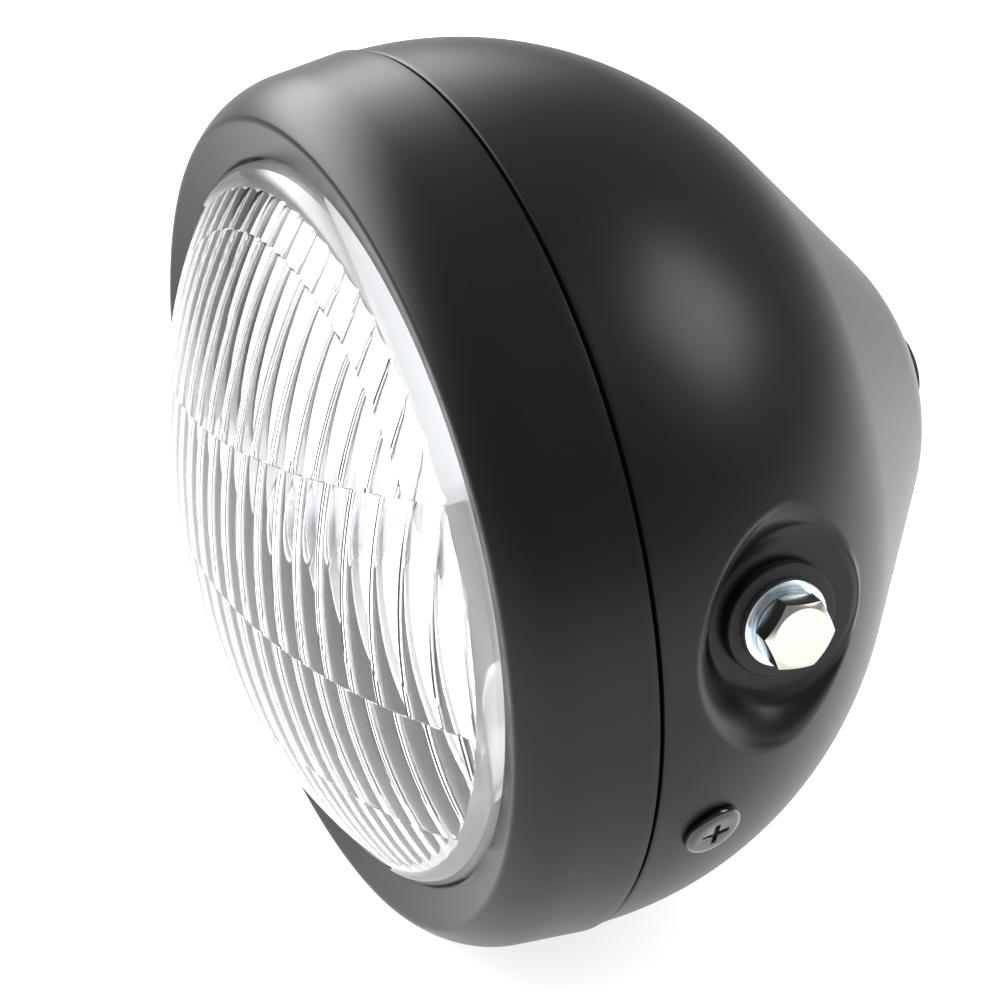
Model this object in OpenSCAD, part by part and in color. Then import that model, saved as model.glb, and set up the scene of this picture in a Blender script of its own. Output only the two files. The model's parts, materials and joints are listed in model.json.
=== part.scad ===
// Round motorcycle headlight. A pressed steel bucket with a dished boss at each side, a rolled
// steel bezel, a fluted glass lens bonded to an aluminised reflector, and a halogen bulb behind it.
// X runs across the lamp, the beam leaves towards -Y and +Z is up. The origin is the point where
// the lamp's own axis crosses the line through the two side bolts.

/* [Bezel] */
// Outside diameter of the bezel at its rear edge
bezel_d = 180; // [172:1:196]
// Thickness of the bezel's sheet
bezel_sheet = 1; // [0.8:0.1:1.2]
// Length of the bezel's straight side, from the seam to its round-over
bezel_side = 14; // [12:0.5:18]
// Draft of the bezel's side, in degrees
bezel_draft = 6.5; // [4:0.5:8]
// Radius of the round-over that leads to the front crease
bezel_round = 17.5; // [15:0.5:20]
// Slope of the round-over where it reaches the crease, in degrees
crease_slope = 52; // [48:1:56]
// Outside radius of the crease
crease_r = 1.8; // [1.4:0.1:2.4]
// Width of the sloping return between the crease and the lip
return_w = 8.2; // [7:0.1:10]
// How far the lip lies behind the crease
return_drop = 2.3; // [1.5:0.1:3]
// Length of the lip's turned-back edge
lip_turn = 2.6; // [2:0.1:3.5]
// Length of the folded hem at the bezel's rear edge
hem_len = 2.4; // [1.6:0.1:3]

/* [Bucket] */
// Thickness of the bucket's sheet
bucket_sheet = 1.2; // [1:0.1:1.6]
// Distance from the seam back to the line of the side bolts
bolt_back = 31; // [29:0.5:34]
// Shadow gap between the bezel's rear edge and the bucket
seam_gap = 1; // [0.6:0.1:2]
// Step from the bezel's outside down to the bucket's outside
bucket_step = 0.5; // [0.2:0.1:1]
// Radial play of the bucket's neck inside the drafted bezel
neck_play = 0.3; // [0.2:0.05:0.5]
// Length of the neck that enters the bezel
neck_len = 8; // [6:0.5:9]
// Length of the bucket's straight side behind the seam
bucket_side = 6; // [5:0.5:8]
// Radius of the bucket's shoulder
shoulder_r = 76; // [72:1:80]
// Slope of the cone between shoulder and nose, in degrees
cone_slope = 50; // [47:1:53]
// Radius of the bucket's nose
nose_r = 48; // [42:1:52]
// Radius of the flat that holds the cable grommet
nose_flat_r = 16; // [15:0.5:18]
// Diameter of the drain hole in the bucket's underside
drain_d = 5; // [4:0.5:7]

/* [Side bosses] */
// How far the face of each mounting pad lies inside the bezel's outside radius
pad_in = 12.7; // [11:0.1:15]
// Radius of the mounting pad
pad_r = 17; // [15.5:0.5:18]
// Edge radius of the pad
pad_edge = 2.5; // [1.5:0.1:3]
// Width of the moat between the pad and the dish wall
moat_w = 2; // [1.5:0.1:3]
// Depth of the moat below the pad's face
moat_depth = 1.6; // [1:0.1:2]
// Flare of the dish wall, in degrees
dish_flare = 20; // [14:1:26]

/* [Side mounting hardware] */
// Thread diameter of the side bolts
bolt_d = 8; // [7:0.5:8]
// Width across the flats of the bolt's head and of the weld nut
bolt_af = 13; // [12:0.5:14]
// Height of the bolt's head
bolt_head_h = 5.3; // [4.5:0.1:6]
// Length of the bolt's shank under its head
bolt_len = 25; // [22:1:28]
// Outside diameter of the rubber spacer
spacer_d = 22.8; // [21:0.2:25]
// Thickness of the rubber spacer
spacer_t = 2.5; // [2:0.1:4]
// Outside diameter of the flat washer
washer_d = 17.4; // [16:0.2:19]
// Thickness of the flat washer
washer_t = 1.5; // [1.2:0.1:2]
// Outside diameter of the split lock washer
lock_d = 14.2; // [13.6:0.1:15]
// Thickness of the split lock washer
lock_t = 1.5; // [1.2:0.1:2]
// Thickness of the doubler plate behind each pad
doubler_t = 2; // [1.5:0.1:3]
// Height of the weld nut
nut_h = 6.5; // [5.5:0.1:8]
// Radial clearance of the bolt in every plain hole
bolt_play = 0.2; // [0.1:0.05:0.4]

/* [Rim screws and tabs] */
// Thread diameter of the rim screws
rim_screw_d = 6; // [5:0.5:6]
// Head diameter of the rim screws
rim_head_d = 12; // [10:0.5:13]
// Head height of the rim screws
rim_head_h = 3; // [2.4:0.1:3.6]
// Distance of the rim screws behind the seam
rim_screw_back = 14; // [13:0.5:17]
// Angle of the rim screws below the side bolts
rim_screw_drop = 26; // [20:1:35]
// Sheet thickness of the tabs
tab_t = 1.2; // [1:0.1:1.6]
// Width of the tabs, as an angle round the rim
tab_arc = 11; // [10:1:14]

/* [Lens] */
// Radius of the glass dome
dome_r = 118.5; // [112:0.5:130]
// Height of the dome's edge in front of the bezel's lip
dome_lift = 4.2; // [3.4:0.1:5]
// Width of the clear rounded shoulder outside the dome
shoulder_w = 3.1; // [2.6:0.1:4]
// Thickness of the glass dome
glass_t = 4; // [3.5:0.1:5]
// Thickness of the clear rim round the flutes
rim_t = 6; // [4.5:0.1:7]
// Radial clearance between the glass and the bezel's lip
lip_play = 0.5; // [0.3:0.1:0.8]
// Width of the flange that lies behind the lip
flange_w = 4.6; // [4:0.1:5]
// Thickness of the flange
flange_t = 4; // [3:0.1:5]
// Thickness of the rubber seal between the lip and the flange
seal_t = 1.3; // [1:0.1:1.6]
// Pitch of the vertical flutes
flute_pitch = 6.2; // [5.4:0.1:8]
// Pitch of the fine flutes in the lowest zone
fine_pitch = 4.4; // [4:0.1:5.4]
// Depth of the flutes
flute_depth = 0.6; // [0.4:0.05:0.8]
// Radius of the ring where the upper flutes change step
zone_ring_r = 60; // [56:1:62]
// Height of the main cut-off line on the dome
cutoff_z = 25; // [18:1:30]
// Height of the second line
second_z = -7; // [-12:1:-2]
// Height of the lowest line
lowest_z = -39; // [-46:1:-34]
// Tilt of the cut-off line, in degrees
cutoff_tilt = 6; // [0:1:12]

/* [Reflector] */
// Focal length of the reflector
focal_len = 26; // [24:0.5:28]
// Thickness of the reflector's sheet
reflector_t = 1; // [0.8:0.1:1.4]
// Outside radius of the neck that the bulb's flange sits on
neck_r = 25; // [24.5:0.5:27]
// Radius of the bulb hole
bulb_hole_r = 19; // [18:0.5:19.5]
// Length of the neck behind the bowl
neck_h = 4; // [3:0.5:6]
// Thickness of the ring that holds the unit in the bezel
ring_t = 1.2; // [1:0.1:1.6]
// Number of brackets and screws round that ring
ring_screws_n = 4; // [3:1:6]

/* [Bulb] */
// Outside radius of the glass envelope
envelope_r = 8.5; // [7.5:0.1:9]
// Length of the bulb in front of its flange
bulb_reach = 58; // [54:1:60]
// Outside radius of the bulb's flange
flange_r = 21.5; // [20.5:0.5:21.8]
// Thickness of the bulb's flange
bulb_flange_t = 1.2; // [1:0.1:1.5]
// Radius of the bulb's base can
base_r = 11; // [10:0.5:12]
// Length of the base behind the flange
base_len = 16; // [13:1:20]
// Thickness of the dust boot's rubber
boot_t = 2; // [1.5:0.1:2.5]

/* [Cable grommet] */
// Bore of the grommet
grommet_bore_d = 12; // [10:0.5:14]
// Diameter of the hole in the bucket that holds the grommet
grommet_hole_d = 20; // [19:0.5:22]
// Diameter of the grommet's flanges
grommet_flange_d = 27; // [25:0.5:28]
// Length of the grommet
grommet_len = 9; // [7:0.5:12]

/* [Hidden] */
$fn = 128;
// Small gap left between pieces that are assembled with play
fit = 0.1;
// Overlap that lets a cut pass clean through a face
over = 0.5;
// Angle by which a rounded corner's slice runs on under the flat next to it
lap = 4;
// Length of a cutter that passes right through a sheet
through = 16;

bezel_r = bezel_d / 2;
seam_y = -bolt_back;

// Bezel section: straight side, round-over about bezel_o, crease about crease_o, return to the lip
side_end = [bezel_r - bezel_side * sin(bezel_draft), seam_y - bezel_side * cos(bezel_draft)];
bezel_o = side_end + bezel_round * [-cos(bezel_draft), sin(bezel_draft)];
crease = bezel_o + bezel_round * [cos(crease_slope), -sin(crease_slope)];
lip_r = crease.x - return_w;
lip_y = crease.y + return_drop;
return_dir = [-return_w, return_drop] / norm([return_w, return_drop]);
return_in = [return_dir.y, -return_dir.x];
crease_from = crease + crease_r * return_in - bezel_o;
crease_s = -crease_from * return_dir
    - sqrt(pow(crease_from * return_dir, 2) - crease_from * crease_from + pow(bezel_round - crease_r, 2));
crease_o = crease + crease_r * return_in + crease_s * return_dir;
crease_a0 = atan2(crease_o.y - bezel_o.y, crease_o.x - bezel_o.x);
crease_a1 = atan2(-return_in.y, -return_in.x);

// Bucket section: straight side, shoulder about shoulder_o, cone, nose about [0, nose_y]
bucket_r = bezel_r - bucket_step;
mouth_y = seam_y + seam_gap;
neck_out_r = wall_in_r(seam_y - neck_len) - neck_play;
shoulder_o = [bucket_r - shoulder_r, seam_y + bucket_side];
shoulder_end = shoulder_o + shoulder_r * [cos(cone_slope), sin(cone_slope)];
cone_len = (shoulder_end.x - nose_r * cos(cone_slope)) / sin(cone_slope);
nose_start = shoulder_end + cone_len * [-sin(cone_slope), cos(cone_slope)];
nose_y = nose_start.y - nose_r * sin(cone_slope);
back_y = nose_y + sqrt(nose_r * nose_r - nose_flat_r * nose_flat_r);

// Side hardware, outwards from the lamp's axis
pad_out = bezel_r - pad_in;
spacer_out = pad_out + spacer_t;
washer_out = spacer_out + washer_t;
lock_out = washer_out + lock_t;
bolt_hole_r = bolt_d / 2 + bolt_play;
pad_back = pad_out - bucket_sheet;
nut_out = pad_back - doubler_t;

// Glass, seal and reflector, backwards from the lip
glass_r = lip_r - lip_play;
dome_edge_r = glass_r - shoulder_w;
dome_edge_y = lip_y - dome_lift;
dome_y = dome_edge_y + sqrt(dome_r * dome_r - dome_edge_r * dome_edge_r);
flange_front_y = lip_y + bezel_sheet + lip_turn + seal_t;
flange_back_y = flange_front_y + flange_t;
flange_out_r = lip_r + flange_w;
glass_in_r = glass_r - rim_t;
core_r = dome_r - glass_t;
bowl_r = glass_in_r;
bowl_y = flange_back_y;
vertex_y = bowl_y + bowl_r * bowl_r / (4 * focal_len);
bulb_seat_y = bowl_depth_y(neck_r) + neck_h + reflector_t;
filament_y = vertex_y - focal_len;
ring_y = flange_back_y + reflector_t;
ring_out_r = wall_in_r(ring_y) - tab_t - 2 * fit;
bracket_in_r = flange_out_r + 2 * reflector_t + 6 * fit;

// Tabs, nuts and screws of the rim, inwards from the bucket's shoulder
tab_bend_r = shoulder_r - bucket_sheet - fit;
tab_low_r = neck_out_r - bucket_sheet - fit;
rim_nut_af = 10;
rim_nut_h = 4;
rim_nut_y = -bucket_sheet - 4 * fit - tab_t - rim_nut_h;
screw_end = 2;
rim_screw_len = screw_end - rim_nut_y;

// Slotted ears on the reflector's neck and the spring wire hooked into them
ear_t = 2.4;
ear_w = 5;
clip_wire_d = 1.5;
ear_slot_h = bulb_flange_t + clip_wire_d + fit;
ear_h = ear_slot_h + ear_t / 2;

// Screws and brackets of the retaining ring
ring_screw_d = 3;
ring_head_d = 5.6;
ring_head_h = 2;
ring_first_angle = 45;
ring_screw_r = ring_out_r - ring_head_d / 2 - fit;
ring_screw_reach = ring_t + tab_t + screw_end;
bracket_leg = 3.4;
bracket_arc = 7;

// Bulb: envelope, two coils on the lamp's axis and their lead wires
envelope_wall = 1;
bulb_stem_y = bulb_seat_y - 3 * envelope_wall;
bulb_tip_y = bulb_seat_y - bulb_reach;
coil_len = 5;
coil_r = 0.9;
low_coil_y = filament_y - 7;
main_lead_x = 3.2;
low_lead_x = 5.6;
lead_r = 0.45;

// Turn of the bolt's head and of its nut about the bolt's own line, in degrees
bolt_turn = 20.6;

function wall_in_r(y) = bezel_r - bezel_sheet / cos(bezel_draft) + (y - seam_y) * tan(bezel_draft);
function bowl_depth_y(r) = vertex_y - r * r / (4 * focal_len);
function along(a, b, n) = [for (i = [0:n]) a + (b - a) * i / n];

// Turns a section drawn as [radius, y] about the lamp's axis
module turned(from = 0, sweep = 360) {
    rotate([-90, 0, 0])
        rotate_extrude(angle = sweep, start = from)
            children();
}

// Turns a section drawn as [radius, x] about the line of the side bolts
module turned_about_bolt() {
    rotate([0, 90, 0])
        rotate_extrude()
            children();
}

// Sets a part of the right-hand side on its own side, 1 for right and -1 for left
module on_side(side) {
    if (side > 0) children();
    else mirror([1, 0, 0]) children();
}

// Slice of a disc about c from angle a0 to a1
module slice(c, r, a0, a1) {
    am = (a0 + a1) / 2;
    reach = 1.5 * r;
    intersection() {
        translate(c)
            circle(r);
        polygon([c, c + reach * [cos(a0), sin(a0)], c + reach * [cos(am), sin(am)],
            c + reach * [cos(a1), sin(a1)]]);
    }
}

// Hexagon nut standing on z = 0
module hex_nut(flats, h, thread_d) {
    difference() {
        cylinder(d = flats / cos(30), h = h, $fn = 6);
        translate([0, 0, -over])
            cylinder(d = thread_d, h = h + 2 * over, $fn = 64);
    }
}

// Ring section between two radii and two stations along the axis
module band(r0, r1, y0, y1) {
    translate([r0, y0])
        square([r1 - r0, y1 - y0]);
}

// All that lies inside the bezel's skin, brought in by the given amount
module bezel_region(inset) {
    back = seam_y + (inset > 0 ? over : 0);
    out_r = wall_in_r(back) + (bezel_sheet - inset) / cos(bezel_draft);
    crease_end = crease_o - (crease_r - inset) * return_in;
    in_r = lip_r - 2 * bezel_sheet;
    in_y = crease_end.y + (crease_end.x - in_r) / return_w * return_drop;
    mid_a = (crease_a0 - bezel_draft) / 2;
    slice(bezel_o, bezel_round - inset, lap - bezel_draft, crease_a0);
    slice(crease_o, crease_r - inset, crease_a0, crease_a1 - lap);
    polygon([[in_r, back], [out_r, back],
        side_end + inset * [-cos(bezel_draft), sin(bezel_draft)],
        bezel_o + bezel_round / 2 * [cos(mid_a), sin(mid_a)], crease_o, crease_end, [in_r, in_y]]);
}

module rim_bezel() {
    color("#2b2b2d") {
        difference() {
            turned()
                bezel_region(0);
            turned()
                bezel_region(bezel_sheet);
            turned()
                band(lip_r - 3 * bezel_sheet, lip_r, crease.y - over, seam_y + over);
        }
        turned()
            band(lip_r, lip_r + bezel_sheet, lip_y + fit, lip_y + bezel_sheet + lip_turn);
        turned()
            polygon([[neck_out_r + fit, seam_y], [neck_out_r + fit, seam_y - hem_len],
                [wall_in_r(seam_y - hem_len) + fit, seam_y - hem_len], [wall_in_r(seam_y) + fit, seam_y]]);
    }
}

// All that lies inside the bucket's skin, brought in by the given amount
module bucket_region(inset) {
    front = mouth_y + inset;
    intersection() {
        union() {
            slice(shoulder_o, shoulder_r - inset, -lap, cone_slope + lap);
            slice([0, nose_y], nose_r - inset, cone_slope - lap, 90 + lap);
            polygon([[0, front], [bucket_r - inset, front], [bucket_r - inset, shoulder_o.y],
                shoulder_o, shoulder_end - inset * [cos(cone_slope), sin(cone_slope)],
                nose_start - inset * [cos(cone_slope), sin(cone_slope)], [0, nose_y]]);
        }
        band(0, bezel_r, front, back_y - inset);
    }
}

// Flat round pad with a rounded edge that stands out of the bucket's falling side
module pad_section(inset) {
    r = pad_r - inset;
    top = pad_out - inset;
    root = pad_out - 20;
    slice([r - pad_edge, top - pad_edge], pad_edge, -lap, 90 + lap);
    polygon([[0, root], [r, root], [r, top - pad_edge], [r - pad_edge, top - pad_edge],
        [r - pad_edge, top], [0, top]]);
}

// Dish that is pressed into the bucket round the pad
module dish_section(inset) {
    floor_x = pad_out - moat_depth - inset;
    r = pad_r + moat_w + inset;
    tall = bezel_r - floor_x;
    polygon([[0, floor_x], [r, floor_x], [r + tall * tan(dish_flare), floor_x + tall], [0, floor_x + tall]]);
}

// Solid bucket with both bosses, brought in by the given amount
module bucket_form(inset) {
    difference() {
        turned()
            bucket_region(inset);
        for (side = [1, -1])
            on_side(side)
                turned_about_bolt()
                    dish_section(inset);
    }
    for (side = [1, -1])
        on_side(side)
            turned_about_bolt()
                pad_section(inset);
}

module bucket_shell() {
    color("#29292b")
        difference() {
            union() {
                bucket_form(0);
                turned()
                    band(neck_out_r - bucket_sheet, neck_out_r, seam_y - neck_len, mouth_y + bucket_sheet);
            }
            bucket_form(bucket_sheet);
            turned()
                band(0, neck_out_r - bucket_sheet, seam_y - neck_len - over, mouth_y + 2 * bucket_sheet);
            turned()
                band(0, grommet_hole_d / 2, nose_y, back_y + over);
            for (side = [1, -1]) {
                on_side(side)
                    turned_about_bolt()
                        band(0, bolt_hole_r, pad_out - through / 2, pad_out + over);
                rim_screw_place(side)
                    cylinder(r = rim_screw_d / 2 + bolt_play, h = through, center = true, $fn = 48);
            }
            translate([0, seam_y + rim_screw_back, -bucket_r])
                cylinder(d = drain_d, h = through, center = true, $fn = 48);
        }
}

// Puts +Z along a rim screw, square to the bucket's shoulder, with the bucket's skin at z = 0
module rim_screw_place(side) {
    on_side(side)
        translate([0, shoulder_o.y, 0])
            rotate([0, rim_screw_drop, 0])
                translate([shoulder_o.x, 0, 0])
                    rotate([0, 90, shoulder_angle(rim_screw_back)])
                        translate([0, 0, shoulder_r])
                            children();
}

// Angle on the shoulder's arc of a point this far behind the seam
function shoulder_angle(back) = asin((back - bucket_side) / shoulder_r);

module rim_screw(side) {
    edge_r = rim_head_h * 0.6;
    edge_c = [rim_head_d / 2 - edge_r, rim_head_h - edge_r];
    color("#1c1c1e")
        rim_screw_place(side) {
            difference() {
                rotate_extrude($fn = 64)
                    union() {
                        slice(edge_c, edge_r, -lap, 90 + lap);
                        polygon([[0, 0], [rim_head_d / 2, 0], [rim_head_d / 2, edge_c.y],
                            edge_c, [edge_c.x, rim_head_h], [0, rim_head_h]]);
                    }
                cross_recess(rim_head_d / 2, rim_head_h);
            }
            translate([0, 0, -rim_screw_len])
                cylinder(d = rim_screw_d, h = rim_screw_len, $fn = 48);
        }
}

// Cutter for a cross recess this wide, in a head whose face is at z = h
module cross_recess(w, h) {
    for (a = [0, 90])
        rotate(a)
            translate([0, 0, h])
                cube([w, w / 5, h * 1.1], center = true);
}

// Joggled tab that is welded inside the bezel and reaches back under the bucket's wall
module rim_tab(side) {
    root_y = seam_y - neck_len - 4 * fit;
    root_r = wall_in_r(root_y) - fit / 2;
    step_y = mouth_y + 2 * bucket_sheet;
    tail = along(shoulder_angle(bucket_side),
        shoulder_angle(rim_screw_back + rim_head_d / 2), 8);
    color("#8d9196")
        difference() {
            on_side(side)
                turned(rim_screw_drop - tab_arc / 2, tab_arc)
                    polygon(concat(
                        [[tab_low_r - tab_t, root_y - tab_t], [root_r - tab_t * tan(bezel_draft), root_y - tab_t],
                            [root_r, root_y], [tab_low_r, root_y], [tab_low_r, step_y]],
                        [for (a = tail) shoulder_o + tab_bend_r * [cos(a), sin(a)]],
                        [for (i = [len(tail) - 1:-1:0])
                            shoulder_o + (tab_bend_r - tab_t) * [cos(tail[i]), sin(tail[i])]],
                        [[tab_low_r - tab_t, step_y + tab_t / 2]]));
            rim_screw_place(side)
                cylinder(d = rim_screw_d + 2 * bolt_play, h = through, center = true, $fn = 48);
        }
}

module rim_nut(side) {
    color("#a8abad")
        rim_screw_place(side)
            translate([0, 0, rim_nut_y])
                hex_nut(rim_nut_af, rim_nut_h, rim_screw_d);
}

// Dish of flutes: ripples on a sphere about the dome's centre, swept about an axis across the lamp.
// The sphere lies this much deeper than the lens's inner face.
module flute_core(pitch, offset, deeper = 0) {
    top_r = core_r - deeper;
    count = ceil(glass_in_r / pitch) + 1;
    floor_r = top_r - flute_depth - 2 * fit;
    cap_x = dome_y - flange_back_y - 2 * over;
    half_a = asin(glass_in_r / floor_r) + 5;
    ripple_r = (pitch * pitch / 4 + flute_depth * flute_depth) / (2 * flute_depth);
    translate([0, dome_y, 0])
        rotate([0, 90, 0])
            rotate_extrude(angle = 2 * half_a, start = 270 - half_a)
                intersection() {
                    union() {
                        intersection() {
                            circle(floor_r);
                            translate([0, -core_r])
                                square([core_r, 2 * core_r]);
                        }
                        for (i = [-count:count])
                            let (a = asin((i + offset) * pitch / top_r))
                                translate((top_r - ripple_r) * [cos(a), sin(a)])
                                    circle(ripple_r, $fn = 96);
                    }
                    translate([cap_x, -core_r])
                        square([core_r, 2 * core_r]);
                }
}

// Part of the lens between two lines on the dome, each a height and a tilt
module zone(z0, tilt0, z1, tilt1) {
    big = 2 * bezel_d;
    difference() {
        translate([0, 0, z0])
            rotate([0, -tilt0, 0])
                translate([-big / 2, dome_y - dome_r - over, 0])
                    cube([big, dome_r, big]);
        translate([0, 0, z1])
            rotate([0, -tilt1, 0])
                translate([-big, dome_y - dome_r - 2 * over, 0])
                    cube([2 * big, dome_r + 4 * over, 2 * big]);
    }
}

module lens_glass() {
    round_r = shoulder_w * 1.6;
    round_a = acos(1 - shoulder_w / round_r);
    round_c = [glass_r - round_r, dome_edge_y + round_r * sin(round_a)];
    color([0.86, 0.9, 0.92, 0.55])
        difference() {
            turned()
                union() {
                    intersection() {
                        translate([0, dome_y])
                            circle(dome_r, $fn = 360);
                        band(0, dome_edge_r, dome_y - dome_r - over, flange_back_y);
                    }
                    slice(round_c, round_r, -round_a, lap);
                    band(round_c.x, glass_r, round_c.y, flange_back_y);
                    band(round_c.x, flange_out_r, flange_front_y, flange_back_y);
                }
            intersection() {
                turned()
                    band(0, glass_in_r, dome_y - dome_r, flange_back_y + over);
                union() {
                    intersection() {
                        flute_core(flute_pitch, 0.5);
                        zone(cutoff_z, cutoff_tilt, bezel_d, 0);
                        turned()
                            band(0, zone_ring_r, dome_y - dome_r, flange_back_y + over);
                    }
                    difference() {
                        intersection() {
                            flute_core(flute_pitch, 0);
                            zone(cutoff_z, cutoff_tilt, bezel_d, 0);
                        }
                        turned()
                            band(0, zone_ring_r, dome_y - dome_r, flange_back_y + 2 * over);
                    }
                    intersection() {
                        flute_core(flute_pitch, 0);
                        zone(second_z, -cutoff_tilt, cutoff_z, cutoff_tilt);
                    }
                    intersection() {
                        flute_core(flute_pitch, 0.5);
                        zone(lowest_z, -cutoff_tilt / 2, second_z, -cutoff_tilt);
                    }
                    intersection() {
                        flute_core(fine_pitch, 0, flute_depth + 3 * fit);
                        zone(-bezel_d, 0, lowest_z, -cutoff_tilt / 2);
                    }
                }
            }
        }
}

module lens_seal() {
    color("#151515")
        turned()
            band(glass_r + fit, flange_out_r, flange_front_y - seal_t, flange_front_y);
}

// Places children on each side of the neck where the spring clip is hooked
module at_clip_ears() {
    for (side = [1, -1])
        on_side(side)
            translate([(flange_r + neck_r) / 2, bulb_seat_y, 0])
                children();
}

module reflector() {
    bowl_steps = 28;
    face = [for (r = along(bulb_hole_r, bowl_r, bowl_steps)) [r, bowl_depth_y(r)]];
    rear = [for (r = along(bowl_r, bulb_hole_r, bowl_steps)) [r, bowl_depth_y(r) + reflector_t]];
    curl_r = flange_out_r + fit;
    color("#c9cdd0") {
        difference() {
            union() {
                turned()
                    union() {
                        polygon(concat(face, rear));
                        polygon([[bulb_hole_r, bowl_depth_y(bulb_hole_r)], [neck_r, bowl_depth_y(neck_r)],
                            [neck_r, bulb_seat_y], [bulb_hole_r, bulb_seat_y]]);
                        band(bowl_r, curl_r + reflector_t, flange_back_y, flange_back_y + reflector_t);
                        band(curl_r, curl_r + reflector_t, flange_front_y + fit, flange_back_y + reflector_t);
                    }
                at_clip_ears()
                    translate([0, ear_h / 2 - over / 2, 0])
                        cube([ear_t, ear_h + over, ear_w], center = true);
            }
            at_clip_ears()
                translate([0, ear_slot_h / 2, 0])
                    cube([2 * ear_t, ear_slot_h, clip_wire_d + 2 * fit], center = true);
        }
    }
}

// Radius of the brackets' outer face, this far behind the ring's front face
function bracket_r(back) = wall_in_r(ring_y + back) - fit / 2;

// Places children at each screw of the retaining ring, +Z pointing to the rear
module at_ring_screws() {
    for (i = [0:ring_screws_n - 1])
        rotate([0, ring_first_angle + 360 * i / ring_screws_n, 0])
            translate([ring_screw_r, ring_y, 0])
                rotate([-90, 0, 0])
                    children();
}

module retaining_ring() {
    color("#7f8488")
        difference() {
            turned()
                band(flange_out_r - 2 * reflector_t, ring_out_r, ring_y, ring_y + ring_t);
            at_ring_screws()
                cylinder(d = ring_screw_d + 2 * fit, h = through / 2, center = true, $fn = 32);
        }
}

module ring_brackets() {
    color("#8d9196")
        difference() {
            for (i = [0:ring_screws_n - 1])
                turned(ring_first_angle + 360 * i / ring_screws_n - bracket_arc / 2, bracket_arc)
                    polygon([[bracket_in_r, ring_y - tab_t], [bracket_r(-tab_t), ring_y - tab_t],
                        [bracket_r(bracket_leg), ring_y + bracket_leg],
                        [bracket_r(bracket_leg) - tab_t, ring_y + bracket_leg],
                        [bracket_r(0) - tab_t, ring_y], [bracket_in_r, ring_y]]);
            at_ring_screws()
                cylinder(d = ring_screw_d, h = through / 2, center = true, $fn = 32);
        }
}

module ring_screws() {
    color("#b9bcbe")
        at_ring_screws() {
            translate([0, 0, ring_t])
                difference() {
                    cylinder(d = ring_head_d, h = ring_head_h, $fn = 48);
                    cross_recess(ring_head_d * 0.6, ring_head_h);
                }
            translate([0, 0, ring_t - ring_screw_reach])
                cylinder(d = ring_screw_d, h = ring_screw_reach, $fn = 32);
        }
}

module bulb_envelope() {
    dome_base_y = bulb_tip_y + envelope_r;
    color([0.9, 0.93, 0.95, 0.5])
        turned()
            difference() {
                union() {
                    slice([0, dome_base_y], envelope_r, -90 - lap, lap);
                    band(0, envelope_r, dome_base_y, bulb_seat_y - fit);
                }
                translate([0, dome_base_y])
                    circle(envelope_r - envelope_wall);
                band(-over, envelope_r - envelope_wall, dome_base_y, bulb_stem_y);
                band(-envelope_r - over, 0, bulb_tip_y, bulb_seat_y + over);
            }
}

// Wire along the lamp's axis at x, z, from the bulb's stem forward to y
module bulb_lead(x, z, y) {
    translate([x, y, z])
        rotate([-90, 0, 0])
            cylinder(r = lead_r, h = bulb_stem_y - y, $fn = 24);
}

// Cross wire from the lamp's axis to a lead at x, this far along the axis
module cross_wire(x, y) {
    translate([min(x, 0), y, 0])
        rotate([0, 90, 0])
            cylinder(r = lead_r, h = abs(x), $fn = 24);
}

// Coil about a point of the lamp's axis, with a lead on each side
module coil(mid_y, lead_x) {
    translate([0, mid_y - coil_len / 2, 0])
        rotate([-90, 0, 0])
            cylinder(r = coil_r, h = coil_len, $fn = 32);
    for (end = [1, -1]) {
        cross_wire(end * lead_x, mid_y + end * coil_len / 2);
        bulb_lead(end * lead_x, 0, mid_y + end * coil_len / 2);
    }
}

module bulb_filaments() {
    color("#9b9ea0") {
        coil(filament_y, main_lead_x);
        coil(low_coil_y, low_lead_x);
    }
}

module bulb_shield() {
    spoon_r = 4.4;
    spoon_t = 0.5;
    spoon_len = coil_len + 4;
    color("#b4b7b9") {
        translate([0, low_coil_y - spoon_len / 2, 0])
            rotate([-90, 0, 0])
                rotate_extrude(angle = 140, start = 20, $fn = 64)
                    union() {
                        band(spoon_r - spoon_t, spoon_r, 0, spoon_len);
                        band(coil_r + over, spoon_r, spoon_len - spoon_t, spoon_len);
                    }
        bulb_lead(0, -spoon_r + spoon_t / 2, low_coil_y);
    }
}

module bulb_base() {
    collar_len = 9;
    notch_r = 2;
    color("#a3a6a8")
        difference() {
            turned()
                union() {
                    band(envelope_r + fit, envelope_r + bulb_flange_t, bulb_seat_y - collar_len, bulb_seat_y + over);
                    band(0, flange_r, bulb_seat_y, bulb_seat_y + bulb_flange_t);
                    band(0, base_r, bulb_seat_y, bulb_seat_y + base_len);
                }
            for (a = [60, 180, 300])
                rotate([0, a, 0])
                    translate([flange_r, bulb_seat_y, 0])
                        rotate([-90, 0, 0])
                            cylinder(r = notch_r, h = 3 * bulb_flange_t, center = true, $fn = 32);
        }
}

module bulb_terminals() {
    blade_w = 7.9;
    blade_t = 0.8;
    blade_len = 9;
    blade_out = base_r * 0.55;
    color("#c4b27a")
        for (a = [0, 90, 180])
            rotate([0, a, 0])
                translate([blade_out, bulb_seat_y + base_len + blade_len / 2, 0])
                    cube([blade_t, blade_len, blade_w], center = true);
}

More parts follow.
